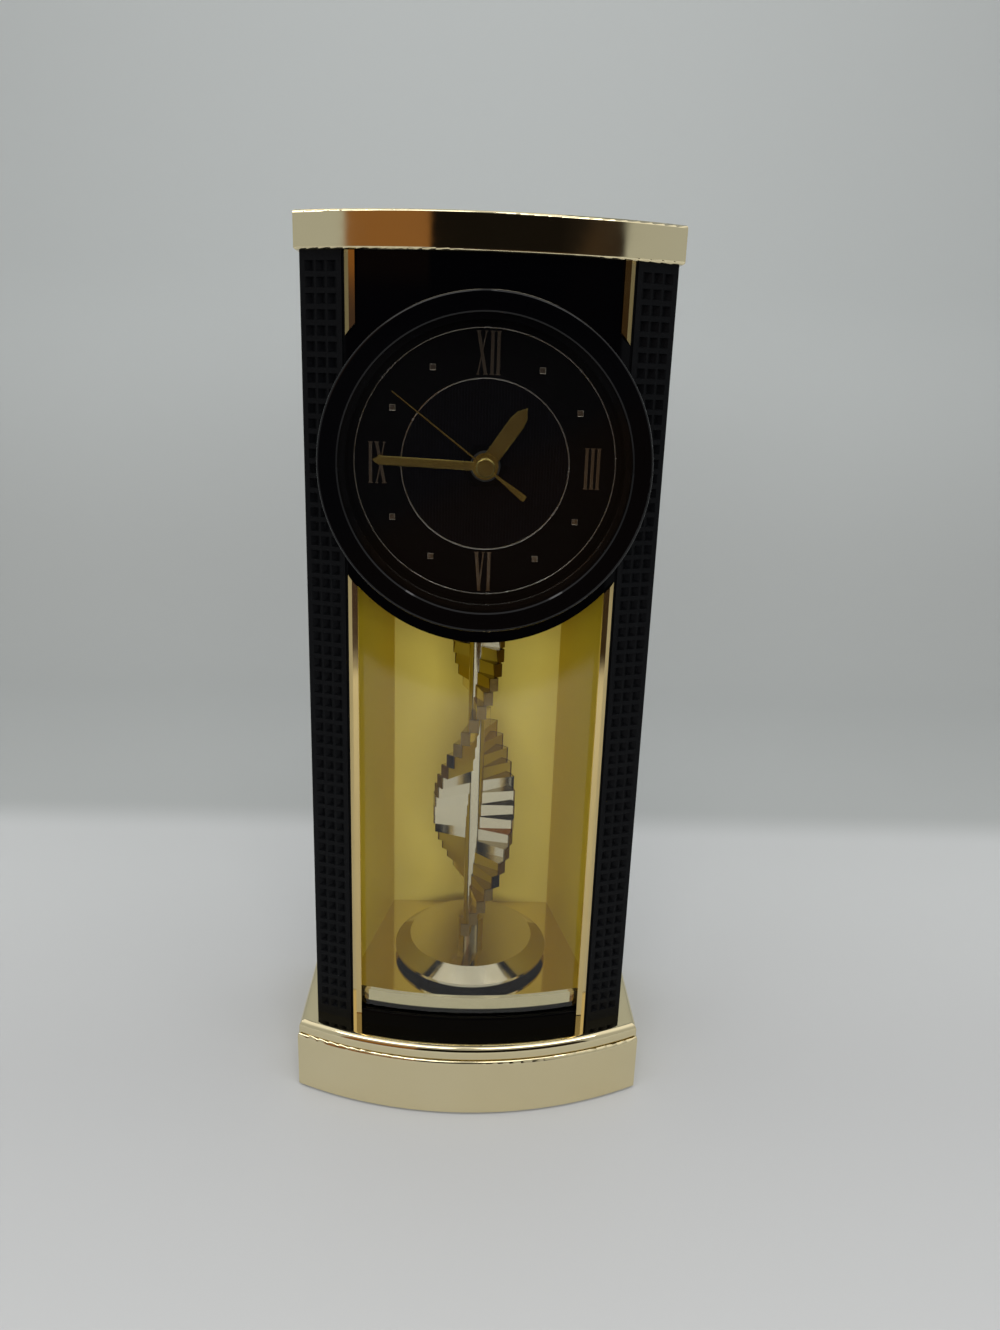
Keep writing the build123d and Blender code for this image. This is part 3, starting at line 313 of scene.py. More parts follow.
def satin_gold(c, half_width):
    """Vacuum-metallised gold on a satin moulding: soft reflections that pool between its walls, and painted
    shade on its slanted sides.
    """
    mat, tree, shader, at = start("metallised_satin_gold", Metallic=0.3)
    # deeper patches about 40 mm across; satin grit is 0.05 mm, drawn at 0.4 mm to show
    patch = add(tree, "ShaderNodeTexNoise", {"Vector": at, "Scale": per_mm(40), "Detail": 2.0})
    back = add(tree, "ShaderNodeMix", {0: patch.outputs[0], 6: c.alcove, 7: c.alcove_deep}, data_type="RGBA")
    # the slanted sides stand beyond the back's half width; their darker, deeper gold is painted shade and
    # painted reflection of the facing wall
    axes = add(tree, "ShaderNodeSeparateXYZ", {0: at})
    aside = add(tree, "ShaderNodeMath", {0: axes.outputs[0]}, operation="ABSOLUTE")
    beyond = add(tree, "ShaderNodeMapRange", {0: aside.outputs[0], 1: half_width, 2: half_width + 0.5 * MM})
    tint = add(tree, "ShaderNodeMix", {0: beyond.outputs[0], 6: back.outputs[2], 7: c.alcove_side_shade},
               data_type="RGBA")
    grit = add(tree, "ShaderNodeTexNoise", {"Vector": at, "Scale": per_mm(0.4), "Detail": 2.0})
    rough = add(tree, "ShaderNodeMapRange", {0: patch.outputs[0], 1: 0.3, 2: 0.7, 3: 0.4, 4: 0.48})
    bump = add(tree, "ShaderNodeBump", {"Height": grit.outputs[0], "Distance": 0.004 * MM, "Strength": 1.0})
    tree.links.new(tint.outputs[2], shader.inputs["Base Color"])
    tree.links.new(rough.outputs[0], shader.inputs["Roughness"])
    tree.links.new(bump.outputs[0], shader.inputs["Normal"])
    return mat


def bright_gold(c):
    """Bright gold plating on the moulded disc: sharp facets that flash light and dark as they turn."""
    mat, tree, shader, at = start("electroplated_abs_bright_gold", Metallic=1.0, Base_Color=c.vane)
    # wiping haze about 4 mm across
    haze = add(tree, "ShaderNodeTexNoise", {"Vector": at, "Scale": per_mm(4), "Detail": 4.0})
    rough = add(tree, "ShaderNodeMapRange", {0: haze.outputs[0], 1: 0.35, 2: 0.7, 3: 0.07, 4: 0.14})
    tree.links.new(rough.outputs[0], shader.inputs["Roughness"])
    return mat


def bar_gold(c):
    """Bright gold plating on the vane's stacked bars: flashing sides, and ends browned with painted shade."""
    mat, tree, shader, at = start("electroplated_abs_bar_gold", Metallic=1.0)
    axes = add(tree, "ShaderNodeSeparateXYZ", {0: at})
    level = add(tree, "ShaderNodeCombineXYZ", {0: axes.outputs[0], 1: axes.outputs[1]})
    radius = add(tree, "ShaderNodeVectorMath", {0: level.outputs[0]}, operation="LENGTH")
    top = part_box("pendulum_vane")[1].z
    reach = add(tree, "ShaderNodeMapRange", {0: axes.outputs[2], 1: top - TAPER_HEIGHT, 2: top, 3: BAR_REACH,
                                             4: TOP_BAR_REACH})
    beyond = add(tree, "ShaderNodeMath", {0: radius.outputs["Value"], 1: reach.outputs[0]},
                 operation="SUBTRACT")
    # painted shade: the bars turn brown between 0.5 and 0.35 mm from their ends
    thin = add(tree, "ShaderNodeMapRange", {0: beyond.outputs[0], 1: -0.5 * MM, 2: -0.35 * MM})
    tint = add(tree, "ShaderNodeMix", {0: thin.outputs[0], 6: c.vane, 7: c.bar_end_shade}, data_type="RGBA")
    # wiping haze about 4 mm across
    haze = add(tree, "ShaderNodeTexNoise", {"Vector": at, "Scale": per_mm(4), "Detail": 4.0})
    rough = add(tree, "ShaderNodeMapRange", {0: haze.outputs[0], 1: 0.35, 2: 0.7, 3: 0.07, 4: 0.14})
    tree.links.new(tint.outputs[2], shader.inputs["Base Color"])
    tree.links.new(rough.outputs[0], shader.inputs["Roughness"])
    return mat


def grained_black(c):
    """Black ABS moulded against a spark-eroded tool: an even dull grain that greys at a low angle."""
    mat, tree, shader, at = start("moulded_abs_grained_black", IOR=1.53, Specular_IOR_Level=0.1)
    # eroded grain is 0.15 mm, drawn at 0.45 mm to show; handling polishes patches about 20 mm across
    grain = add(tree, "ShaderNodeTexVoronoi", {"Vector": at, "Scale": per_mm(0.45)}, feature="SMOOTH_F1")
    wear = add(tree, "ShaderNodeTexNoise", {"Vector": at, "Scale": per_mm(20), "Detail": 3.0})
    rough = add(tree, "ShaderNodeMapRange", {0: wear.outputs[0], 1: 0.3, 2: 0.7, 3: 0.42, 4: 0.55})
    pale = add(tree, "ShaderNodeMix", {0: grain.outputs[0], 6: c.grain, 7: c.gloss}, data_type="RGBA")
    bump = add(tree, "ShaderNodeBump", {"Height": grain.outputs[0], "Distance": 0.03 * MM, "Strength": 0.7})
    tree.links.new(pale.outputs[2], shader.inputs["Base Color"])
    tree.links.new(rough.outputs[0], shader.inputs["Roughness"])
    tree.links.new(bump.outputs[0], shader.inputs["Normal"])
    return mat


def gloss_black(name, c, mirror):
    """Black ABS from a polished tool: deep black that mirrors a little, most along its edges."""
    mat, tree, shader, at = start(name, IOR=1.53, Specular_IOR_Level=mirror, Base_Color=c.gloss)
    # hairline wiping marks in patches about 5 mm across
    wipe = add(tree, "ShaderNodeTexNoise", {"Vector": at, "Scale": per_mm(5), "Detail": 5.0})
    rough = add(tree, "ShaderNodeMapRange", {0: wipe.outputs[0], 1: 0.4, 2: 0.8, 3: 0.03, 4: 0.08})
    tree.links.new(rough.outputs[0], shader.inputs["Roughness"])
    return mat


def clear_acrylic(c):
    """Polished clear acrylic: seen only by its reflections, which strengthen towards the edge of view."""
    mat, tree, shader, at = start("polished_acrylic_clear")
    tree.nodes.remove(shader)
    # both faces of a pane mirror a little; inner faces are left out so that it isn't counted twice
    fresnel = add(tree, "ShaderNodeFresnel", {"IOR": 1.49})
    face = add(tree, "ShaderNodeNewGeometry")
    outer = add(tree, "ShaderNodeMath", {0: 1.0, 1: face.outputs["Backfacing"]}, operation="SUBTRACT")
    share = add(tree, "ShaderNodeMath", {0: fresnel.outputs[0], 1: outer.outputs[0]}, operation="MULTIPLY")
    # dust film in patches about 12 mm across
    film = add(tree, "ShaderNodeTexNoise", {"Vector": at, "Scale": per_mm(12), "Detail": 4.0})
    rough = add(tree, "ShaderNodeMapRange", {0: film.outputs[0], 1: 0.4, 2: 0.8, 3: 0.01, 4: 0.05})
    clear = add(tree, "ShaderNodeBsdfTransparent", {"Color": c.acrylic})
    gloss = add(tree, "ShaderNodeBsdfGlossy", {"Color": linear("FFFFFF"), "Roughness": rough.outputs[0]})
    mix = add(tree, "ShaderNodeMixShader", {0: share.outputs[0], 1: clear.outputs[0], 2: gloss.outputs[0]})
    tree.links.new(mix.outputs[0], tree.nodes["Material Output"].inputs["Surface"])
    return mat


def dial_lacquer(c, inner_radius):
    """Black lacquer on dial sheet: silky, with fine upright lines inside the inner ring."""
    mat, tree, shader, at = start("lacquered_dial_black", Specular_IOR_Level=0.05)
    flat = add(tree, "ShaderNodeMapping", {"Vector": at, "Location": -DIAL_AT})
    axes = add(tree, "ShaderNodeSeparateXYZ", {0: flat.outputs[0]})
    # engraved lines 0.25 mm apart, drawn 0.75 mm apart to show
    lines = add(tree, "ShaderNodeTexWave", {"Vector": flat.outputs[0], "Scale": wave_per_mm(0.75)},
                bands_direction="X", wave_profile="TRI")
    thin = add(tree, "ShaderNodeMapRange", {0: lines.outputs[1], 1: 0.62, 2: 0.95})
    across = add(tree, "ShaderNodeCombineXYZ", {0: axes.outputs[0], 2: axes.outputs[2]})
    radius = add(tree, "ShaderNodeVectorMath", {0: across.outputs[0]}, operation="LENGTH")
    inside = add(tree, "ShaderNodeMath", {0: radius.outputs["Value"], 1: inner_radius}, operation="LESS_THAN")
    drawn = add(tree, "ShaderNodeMath", {0: thin.outputs[0], 1: inside.outputs[0]}, operation="MULTIPLY")
    tint = add(tree, "ShaderNodeMix", {0: drawn.outputs[0], 6: c.dial, 7: c.dial_line}, data_type="RGBA")
    rough = add(tree, "ShaderNodeMapRange", {0: drawn.outputs[0], 3: 0.34, 4: 0.22})
    bump = add(tree, "ShaderNodeBump", {"Height": drawn.outputs[0], "Distance": 0.03 * MM, "Strength": 0.6})
    tree.links.new(tint.outputs[2], shader.inputs["Base Color"])
    tree.links.new(rough.outputs[0], shader.inputs["Roughness"])
    tree.links.new(bump.outputs[0], shader.inputs["Normal"])
    return mat


def hand_gold(c):
    """Gold-anodised stamped sheet: a satin face that mirrors what stands before it."""
    mat, tree, shader, at = start("anodised_sheet_gold", Metallic=1.0, Base_Color=c.hands)
    # soft patches of the anodising about 6 mm across
    patch = add(tree, "ShaderNodeTexNoise", {"Vector": at, "Scale": per_mm(6), "Detail": 3.0})
    rough = add(tree, "ShaderNodeMapRange", {0: patch.outputs[0], 1: 0.3, 2: 0.7, 3: 0.23, 4: 0.27})
    tree.links.new(rough.outputs[0], shader.inputs["Roughness"])
    return mat


def dial_foil(c):
    """Hot-stamped pale foil: thin bright metal that mirrors its surroundings as grey or bronze."""
    mat, tree, shader, at = start("hot_stamped_foil_pale", Metallic=1.0, Base_Color=c.foil)
    # worn specks of the stamping about 0.5 mm across
    speck = add(tree, "ShaderNodeTexNoise", {"Vector": at, "Scale": per_mm(0.5), "Detail": 3.0})
    rough = add(tree, "ShaderNodeMapRange", {0: speck.outputs[0], 1: 0.3, 2: 0.7, 3: 0.2, 4: 0.23})
    tree.links.new(rough.outputs[0], shader.inputs["Roughness"])
    return mat


def speckled(name, tone, grain_mm, low, high, depth_mm, **uniform):
    """A material of one tone, its roughness and fine relief broken up by a grain of so many millimetres."""
    mat, tree, shader, at = start(name, **uniform)
    grain = add(tree, "ShaderNodeTexNoise", {"Vector": at, "Scale": per_mm(grain_mm), "Detail": 4.0})
    shade = add(tree, "ShaderNodeHueSaturation", {"Color": tone, "Value": 0.8})
    tint = add(tree, "ShaderNodeMix", {0: grain.outputs[0], 6: tone, 7: shade.outputs[0]}, data_type="RGBA")
    rough = add(tree, "ShaderNodeMapRange", {0: grain.outputs[0], 1: 0.3, 2: 0.7, 3: low, 4: high})
    bump = add(tree, "ShaderNodeBump", {"Height": grain.outputs[0], "Distance": depth_mm * MM,
                                        "Strength": 1.0})
    tree.links.new(tint.outputs[2], shader.inputs["Base Color"])
    tree.links.new(rough.outputs[0], shader.inputs["Roughness"])
    tree.links.new(bump.outputs[0], shader.inputs["Normal"])
    return mat


def wound_copper(c):
    """Enamelled copper wire in close turns: fine bright ridges side by side."""
    mat, tree, shader, at = start("wound_enamelled_copper", Metallic=1.0, Roughness=0.28)
    # wire is 0.1 mm, drawn at 0.4 mm to show; the darker copper between the turns is painted shade
    turns = add(tree, "ShaderNodeTexWave", {"Vector": at, "Scale": wave_per_mm(0.4), "Distortion": 0.6},
                bands_direction="X")
    tint = add(tree, "ShaderNodeMix", {0: turns.outputs[1], 6: c.copper_shade, 7: c.copper}, data_type="RGBA")
    bump = add(tree, "ShaderNodeBump", {"Height": turns.outputs[1], "Distance": 0.1 * MM, "Strength": 0.8})
    tree.links.new(tint.outputs[2], shader.inputs["Base Color"])
    tree.links.new(bump.outputs[0], shader.inputs["Normal"])
    return mat


def board_laminate(c):
    """Solder mask over copper tracks on glass laminate: gloss green with paler straight tracks."""
    mat, tree, shader, at = start("solder_masked_laminate_green", Roughness=0.3, IOR=1.55)
    # the fields between the tracks are 2.5 by 1.25 mm
    track = add(tree, "ShaderNodeTexBrick", {"Vector": at, "Scale": per_mm(5.0), "Color1": c.board,
                                             "Color2": c.board_deep, "Mortar": c.track, "Mortar Size": 0.06})
    tree.links.new(track.outputs[0], shader.inputs["Base Color"])
    return mat


def cell_sleeve(c):
    """Shrunk plastic sleeve on a dry cell: gloss dark film, a plain band at one end and bare steel ends."""
    mat, tree, shader, at = start("shrunk_sleeve_dark", IOR=1.5)
    low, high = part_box("battery")
    along = add(tree, "ShaderNodeMapping", {"Vector": at, "Location": (-low.x, 0.0, 0.0)})
    axes = add(tree, "ShaderNodeSeparateXYZ", {0: along.outputs[0]})
    span = high.x - low.x
    # shares of the cell's length: where the band starts, and how far the sleeve goes from the middle
    band_from, sleeve_reach = 0.72, 0.47
    band = add(tree, "ShaderNodeMath", {0: axes.outputs[0], 1: band_from * span}, operation="GREATER_THAN")
    middle = add(tree, "ShaderNodeMath", {0: axes.outputs[0], 1: span / 2, 2: sleeve_reach * span},
                 operation="COMPARE")
    bare = add(tree, "ShaderNodeMath", {0: 1.0, 1: middle.outputs[0]}, operation="SUBTRACT")
    film = add(tree, "ShaderNodeMix", {0: band.outputs[0], 6: c.cell, 7: c.cell_band}, data_type="RGBA")
    tint = add(tree, "ShaderNodeMix", {0: bare.outputs[0], 6: film.outputs[2], 7: c.steel}, data_type="RGBA")
    rough = add(tree, "ShaderNodeTexNoise", {"Vector": at, "Scale": per_mm(3.0), "Detail": 3.0})
    soft = add(tree, "ShaderNodeMapRange", {0: rough.outputs[0], 3: 0.15, 4: 0.35})
    tree.links.new(tint.outputs[2], shader.inputs["Base Color"])
    tree.links.new(bare.outputs[0], shader.inputs["Metallic"])
    tree.links.new(soft.outputs[0], shader.inputs["Roughness"])
    return mat


def all_finishes(scene):
    """Every finish of the clock, by the record's slot."""
    c = scene.desk_clock_colours
    return {
        "gold_plating": plated_gold("electroplated_abs_pale_gold", c.plating, c.plating_warm),
        "satin_gold": satin_gold(c, ALCOVE_HALF_WIDTH),
        "vane_gold": bright_gold(c),
        "black_grain": grained_black(c),
        "black_gloss": gloss_black("moulded_abs_gloss_black", c, 0.07),
        "clear_acrylic": clear_acrylic(c),
        "dial_black": dial_lacquer(c, scene.desk_clock_dial.inner_ring),
        "hand_gold": hand_gold(c),
        # fine-textured grey moulding of a movement: even and dull
        "movement_grey": speckled("moulded_abs_textured_grey", c.movement, 0.4, 0.45, 0.6, 0.02, IOR=1.53),
        # natural acetal: waxy off-white
        "gear_resin": speckled("moulded_acetal_natural", c.resin, 3.0, 0.3, 0.42, 0.004, IOR=1.48),
        # zinc on steel: bright with a faint mottle
        "steel": speckled("zinc_plated_steel", c.steel, 1.2, 0.22, 0.38, 0.004, Metallic=1.0),
        # nickel on spring steel: bright and slightly warm
        "nickel": speckled("nickel_plated_spring_steel", c.nickel, 2.0, 0.14, 0.28, 0.003, Metallic=1.0),
        # turned brass: yellow with fine tool marks
        "brass": speckled("turned_brass", c.brass, 0.3, 0.18, 0.34, 0.005, Metallic=1.0),
        "copper_wire": wound_copper(c),
        "board_green": board_laminate(c),
        "cell_sleeve": cell_sleeve(c),
        # moulded rubber: dull black that holds dust
        "rubber": speckled("moulded_rubber_black", c.rubber, 0.6, 0.7, 0.9, 0.02),
        # sintered ferrite: dark grey and granular
        "magnet": speckled("sintered_ferrite_dark", c.magnet, 0.5, 0.5, 0.7, 0.02),
    }


# Pieces


def piece(name, bm, body, material):
    """Makes a bmesh a piece of the clock that moves with a body."""
    bmesh.ops.recalc_face_normals(bm, faces=bm.faces[:])
    mesh = bpy.data.meshes.new(name)
    bm.to_mesh(mesh)
    bm.free()
    mesh.materials.append(material)
    obj = bpy.data.objects.new(name, mesh)
    bpy.context.scene.collection.objects.link(obj)
    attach(obj, body)
    return obj


def verts_of(geom):
    """The vertices among the elements of a bmesh."""
    return [g for g in geom if isinstance(g, bmesh.types.BMVert)]


def raise_faces(bm, height):
    """Thickens flat faces upwards, from a little below the surface that they lie on."""
    bmesh.ops.translate(bm, verts=bm.verts[:], vec=(0, 0, -SUNK * height))
    made = bmesh.ops.extrude_face_region(bm, geom=bm.faces[:])["geom"]
    bmesh.ops.translate(bm, verts=verts_of(made), vec=(0, 0, (1 + SUNK) * height))
    bmesh.ops.recalc_face_normals(bm, faces=bm.faces[:])


def soften_top(bm, offset):
    """Rounds the upper edges of a raised piece."""
    raised = [e for e in bm.edges if all(v.co.z > 0 for v in e.verts)]
    tops = [e for e in raised if len({f.normal.z > 0.5 for f in e.link_faces}) > 1]
    bmesh.ops.bevel(bm, geom=tops, offset=offset, affect="EDGES", segments=3, profile=0.5, material=-1)


def ring(bm, radius, width):
    """A flat ring round the dial's centre, in an empty bmesh."""
    for r in (radius - width / 2, radius + width / 2):
        bmesh.ops.create_circle(bm, segments=160, radius=r)
    bmesh.ops.bridge_loops(bm, edges=bm.edges[:])


def bar(bm, x, y, width, height, lean=0.0):
    """A flat stroke about (x, y) whose top is set over to the right by lean."""
    shape = Matrix(((width, lean, 0, x), (0, height, 0, y), (0, 0, 1, 0), (0, 0, 0, 1)))
    return bmesh.ops.create_grid(bm, x_segments=1, y_segments=1, size=0.5, matrix=shape)["verts"]


def upright(bm, x, d):
    """A stem with a serif at its head and foot, from a grid of nine squares less the two beside the stem."""
    grid = bmesh.ops.create_grid(bm, x_segments=3, y_segments=3, size=0.5)["verts"]
    columns = (-d.stem / 2 - d.serif_reach, -d.stem / 2, d.stem / 2, d.stem / 2 + d.serif_reach)
    rows = (-d.numeral_height / 2, d.serif - d.numeral_height / 2)
    rows += (-rows[1], -rows[0])
    faces = {f for v in grid for f in v.link_faces}
    sides = [f for f in faces if abs(f.calc_center_median().y) < 0.1 < abs(f.calc_center_median().x)]
    for v in grid:
        v.co.x, v.co.y = x + columns[round(v.co.x * 3 + 1.5)], rows[round(v.co.y * 3 + 1.5)]
    bmesh.ops.delete(bm, geom=sides, context="FACES")


def serifs(bm, x, d, width, ends):
    """Serifs on the ends of strokes: ends holds each one's offset from x, and whether it is the upper end."""
    for offset, above in ends:
        y = (d.numeral_height - d.serif) / 2 * (1 if above else -1)
        bar(bm, x + offset, y, width + 2 * d.serif_reach, d.serif)


def cross(bm, x, d):
    """An X: a thick stroke down to the right, crossed by a hairline that stops at its sides."""
    tall = d.numeral_height - 2 * d.serif
    bar(bm, x, 0, d.stem, tall, -d.cross_width)
    thin = bar(bm, x, 0, d.hairline, tall, d.cross_width)
    square = Vector((tall, d.cross_width, 0)).normalized()
    middle = Vector((x, 0, 0))
    for side in (-1, 1):
        geom = list(dict.fromkeys(g for v in thin for g in (v, *v.link_edges, *v.link_faces)))
        edge = middle + Vector((side * d.stem / 2, 0, 0))
        cut = bmesh.ops.bisect_plane(bm, geom=geom, plane_co=edge, plane_no=square)
        thin = thin + verts_of(cut["geom_cut"])
    reach = d.stem / 2 * square.x
    inner = [f for f in {f for v in thin for f in v.link_faces}
             if abs((f.calc_center_median() - middle).dot(square)) < reach]
    bmesh.ops.delete(bm, geom=inner, context="FACES")
    half = d.cross_width / 2
    serifs(bm, x, d, d.stem, ((-half, True), (half, False)))
    serifs(bm, x, d, d.hairline, ((half, True), (-half, False)))


def wedge(bm, x, d):
    """A V: a thick stroke down to the right, met at its foot by a hairline."""
    tall = d.numeral_height - d.serif
    low = -d.serif / 2
    half = d.wedge_width / 2
    bar(bm, x - half / 2, low, d.stem, tall, -half)
    thin = bar(bm, x + half / 2, low, d.hairline, tall, half)
    square = Vector((tall, half, 0)).normalized()
    geom = list(dict.fromkeys(g for v in thin for g in (v, *v.link_edges, *v.link_faces)))
    edge = Vector((x - half / 2 + d.stem / 2, low, 0))
    bmesh.ops.bisect_plane(bm, geom=geom, plane_co=edge, plane_no=square, clear_inner=True)
    serifs(bm, x, d, d.stem, ((-half, True),))
    serifs(bm, x, d, d.hairline, ((half, True),))


def numeral_strokes(bm, letters, d):
    """Sets the letters of one numeral side by side about the origin."""
    widths = {
        "I": d.pitch,
        "X": d.cross_width + d.stem + CROSS_SPACE * d.pitch,
        "V": d.wedge_width + d.stem + WEDGE_SPACE * d.pitch,
    }
    draw = {"I": upright, "X": cross, "V": wedge}
    x = -sum(widths[k] for k in letters) / 2
    for k in letters:
        draw[k](bm, x + widths[k] / 2, d)
        x += widths[k]


def recessed_screw(bm, s, shank_length):
    """A screw at the origin with its head up and a cross recess in it."""
    bmesh.ops.create_circle(bm, cap_ends=True, segments=32, radius=s.head)
    for axis in (Vector((1, 0, 0)), Vector((0, 1, 0))):
        for reach in (-s.arm_length / 2, -s.arm_width / 2, s.arm_width / 2, s.arm_length / 2):
            everything = bm.verts[:] + bm.edges[:] + bm.faces[:]
            bmesh.ops.bisect_plane(bm, geom=everything, plane_co=reach * axis, plane_no=axis)
    rim = [e for e in bm.edges if e.is_boundary]
    arms = []
    for f in bm.faces:
        near, far = sorted(abs(k) for k in f.calc_center_median().xy)
        if near < s.arm_width / 2 and far < s.arm_length / 2:
            arms.append(f)
    sunk = bmesh.ops.extrude_face_region(bm, geom=arms)["geom"]
    bmesh.ops.translate(bm, verts=verts_of(sunk), vec=(0, 0, -s.recess))
    skirt = bmesh.ops.extrude_edge_only(bm, edges=rim)["geom"]
    bmesh.ops.translate(bm, verts=verts_of(skirt), vec=(0, 0, -s.head_height))
    bmesh.ops.edgeloop_fill(bm, edges=[e for e in skirt if isinstance(e, bmesh.types.BMEdge)])
    bmesh.ops.bevel(bm, geom=rim, offset=s.rim, affect="EDGES", segments=3, profile=0.5, material=-1)
    middle = Matrix.Translation((0, 0, -s.head_height - shank_length / 2))
    bmesh.ops.create_cone(bm, cap_ends=True, segments=16, radius1=s.shank, radius2=s.shank,
                          depth=shank_length, matrix=middle)


class CLOCK_OT_finishes(bpy.types.Operator):
    """Makes the clock's finishes and puts them on its parts"""

    bl_idname = "clock.finishes"
    bl_label = "Finishes"

    def execute(self, context):
        finishes = all_finishes(context.scene)
        for node in NODES.values():
            for slot in node.material_slots:
                slot.material = finishes[slot.material.name]
        c = context.scene.desk_clock_colours
        deep = plated_gold("electroplated_abs_deep_gold", c.strip, c.strip_warm)
        for name in ("left_trim_strip", "right_trim_strip"):
            NODES[name].material_slots[0].material = deep
        NODES["pendulum_vane"].material_slots[0].material = bar_gold(c)
        NODES["bezel"].material_slots[0].material = gloss_black("polished_abs_gloss_black", c, 0.25)
        return {"FINISHED"}


class CLOCK_OT_dial_rings(bpy.types.Operator):
    """Rolls the two relief rings round the dial"""

    bl_idname = "clock.dial_rings"
    bl_label = "Dial Rings"

    def execute(self, context):
        d = context.scene.desk_clock_dial
        c = context.scene.desk_clock_colours
        # polished relief line: bright on the slopes that face the roof and the table
        line = speckled("rolled_relief_line_pale", c.ring, 4.0, 0.22, 0.28, 0.001, Metallic=1.0)
        for name, radius in (("dial_outer_ring", d.outer_ring), ("dial_inner_ring", d.inner_ring)):
            bm = bmesh.new()
            ring(bm, radius, d.ring_width)
            raise_faces(bm, d.ring_height)
            soften_top(bm, RING_ROUNDING * d.ring_height)
            bm.transform(ON_DIAL)
            piece(name, bm, "case", line)
        return {"FINISHED"}


class CLOCK_OT_dial_numerals(bpy.types.Operator):
    """Stamps the four numerals of the quarters on the dial"""

    bl_idname = "clock.dial_numerals"
    bl_label = "Dial Numerals"

    def execute(self, context):
        d = context.scene.desk_clock_dial
        foil = dial_foil(context.scene.desk_clock_colours)
        for letters, right, up in QUARTERS:
            bm = bmesh.new()
            numeral_strokes(bm, letters, d)
            raise_faces(bm, d.foil)
            bmesh.ops.translate(bm, verts=bm.verts[:], vec=(right * d.numeral_at, up * d.numeral_at, 0))
            bm.transform(ON_DIAL)
            piece("dial_numeral_" + letters.lower(), bm, "case", foil)
        return {"FINISHED"}


class CLOCK_OT_dial_dots(bpy.types.Operator):
    """Sets a square dot on the dial at each hour between the quarters"""

    bl_idname = "clock.dial_dots"
    bl_label = "Dial Dots"

    def execute(self, context):
        d = context.scene.desk_clock_dial
        bm = bmesh.new()
        for hour in (h for h in range(12) if h % 3):
            angle = math.radians(30 * hour)
            bar(bm, d.dot_at * math.sin(angle), d.dot_at * math.cos(angle), d.dot, d.dot)
        raise_faces(bm, d.dot_height)
        soften_top(bm, DOT_ROUNDING * d.dot_height)
        bm.transform(ON_DIAL)
        piece("dial_dots", bm, "case", bpy.data.materials["hot_stamped_foil_pale"])
        return {"FINISHED"}


class CLOCK_OT_cover_screws(bpy.types.Operator):
    """Turns the rear cover's four screws in, each to its own angle"""

    bl_idname = "clock.cover_screws"
    bl_label = "Cover Screws"

    def execute(self, context):
        s = context.scene.desk_clock_screws
        low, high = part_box("cover_screws")
        bm = bmesh.new()
        recessed_screw(bm, s, high.y - low.y - s.head_height)
        first = bm.verts[:] + bm.edges[:] + bm.faces[:]
        facing_back = Matrix.Rotation(math.radians(-90), 4, "X")
        columns = (low.x + s.head, high.x - s.head)
        rows = (low.z + s.head, high.z - s.head)
        places = [(x, z) for x in columns for z in rows]
        for (x, z), angle in zip(places, SCREW_TURNS):
            made = bmesh.ops.duplicate(bm, geom=first)["geom"]
            turn = Matrix.Rotation(math.radians(angle), 4, "Z")
            place = Matrix.Translation((x, high.y, z)) @ facing_back @ turn
            bmesh.ops.transform(bm, matrix=place, verts=verts_of(made))
        bmesh.ops.delete(bm, geom=verts_of(first), context="VERTS")
        screws = piece("recessed_cover_screws", bm, "case", bpy.data.materials["zinc_plated_steel"])
        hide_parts("cover_screws")
        return {"FINISHED"}


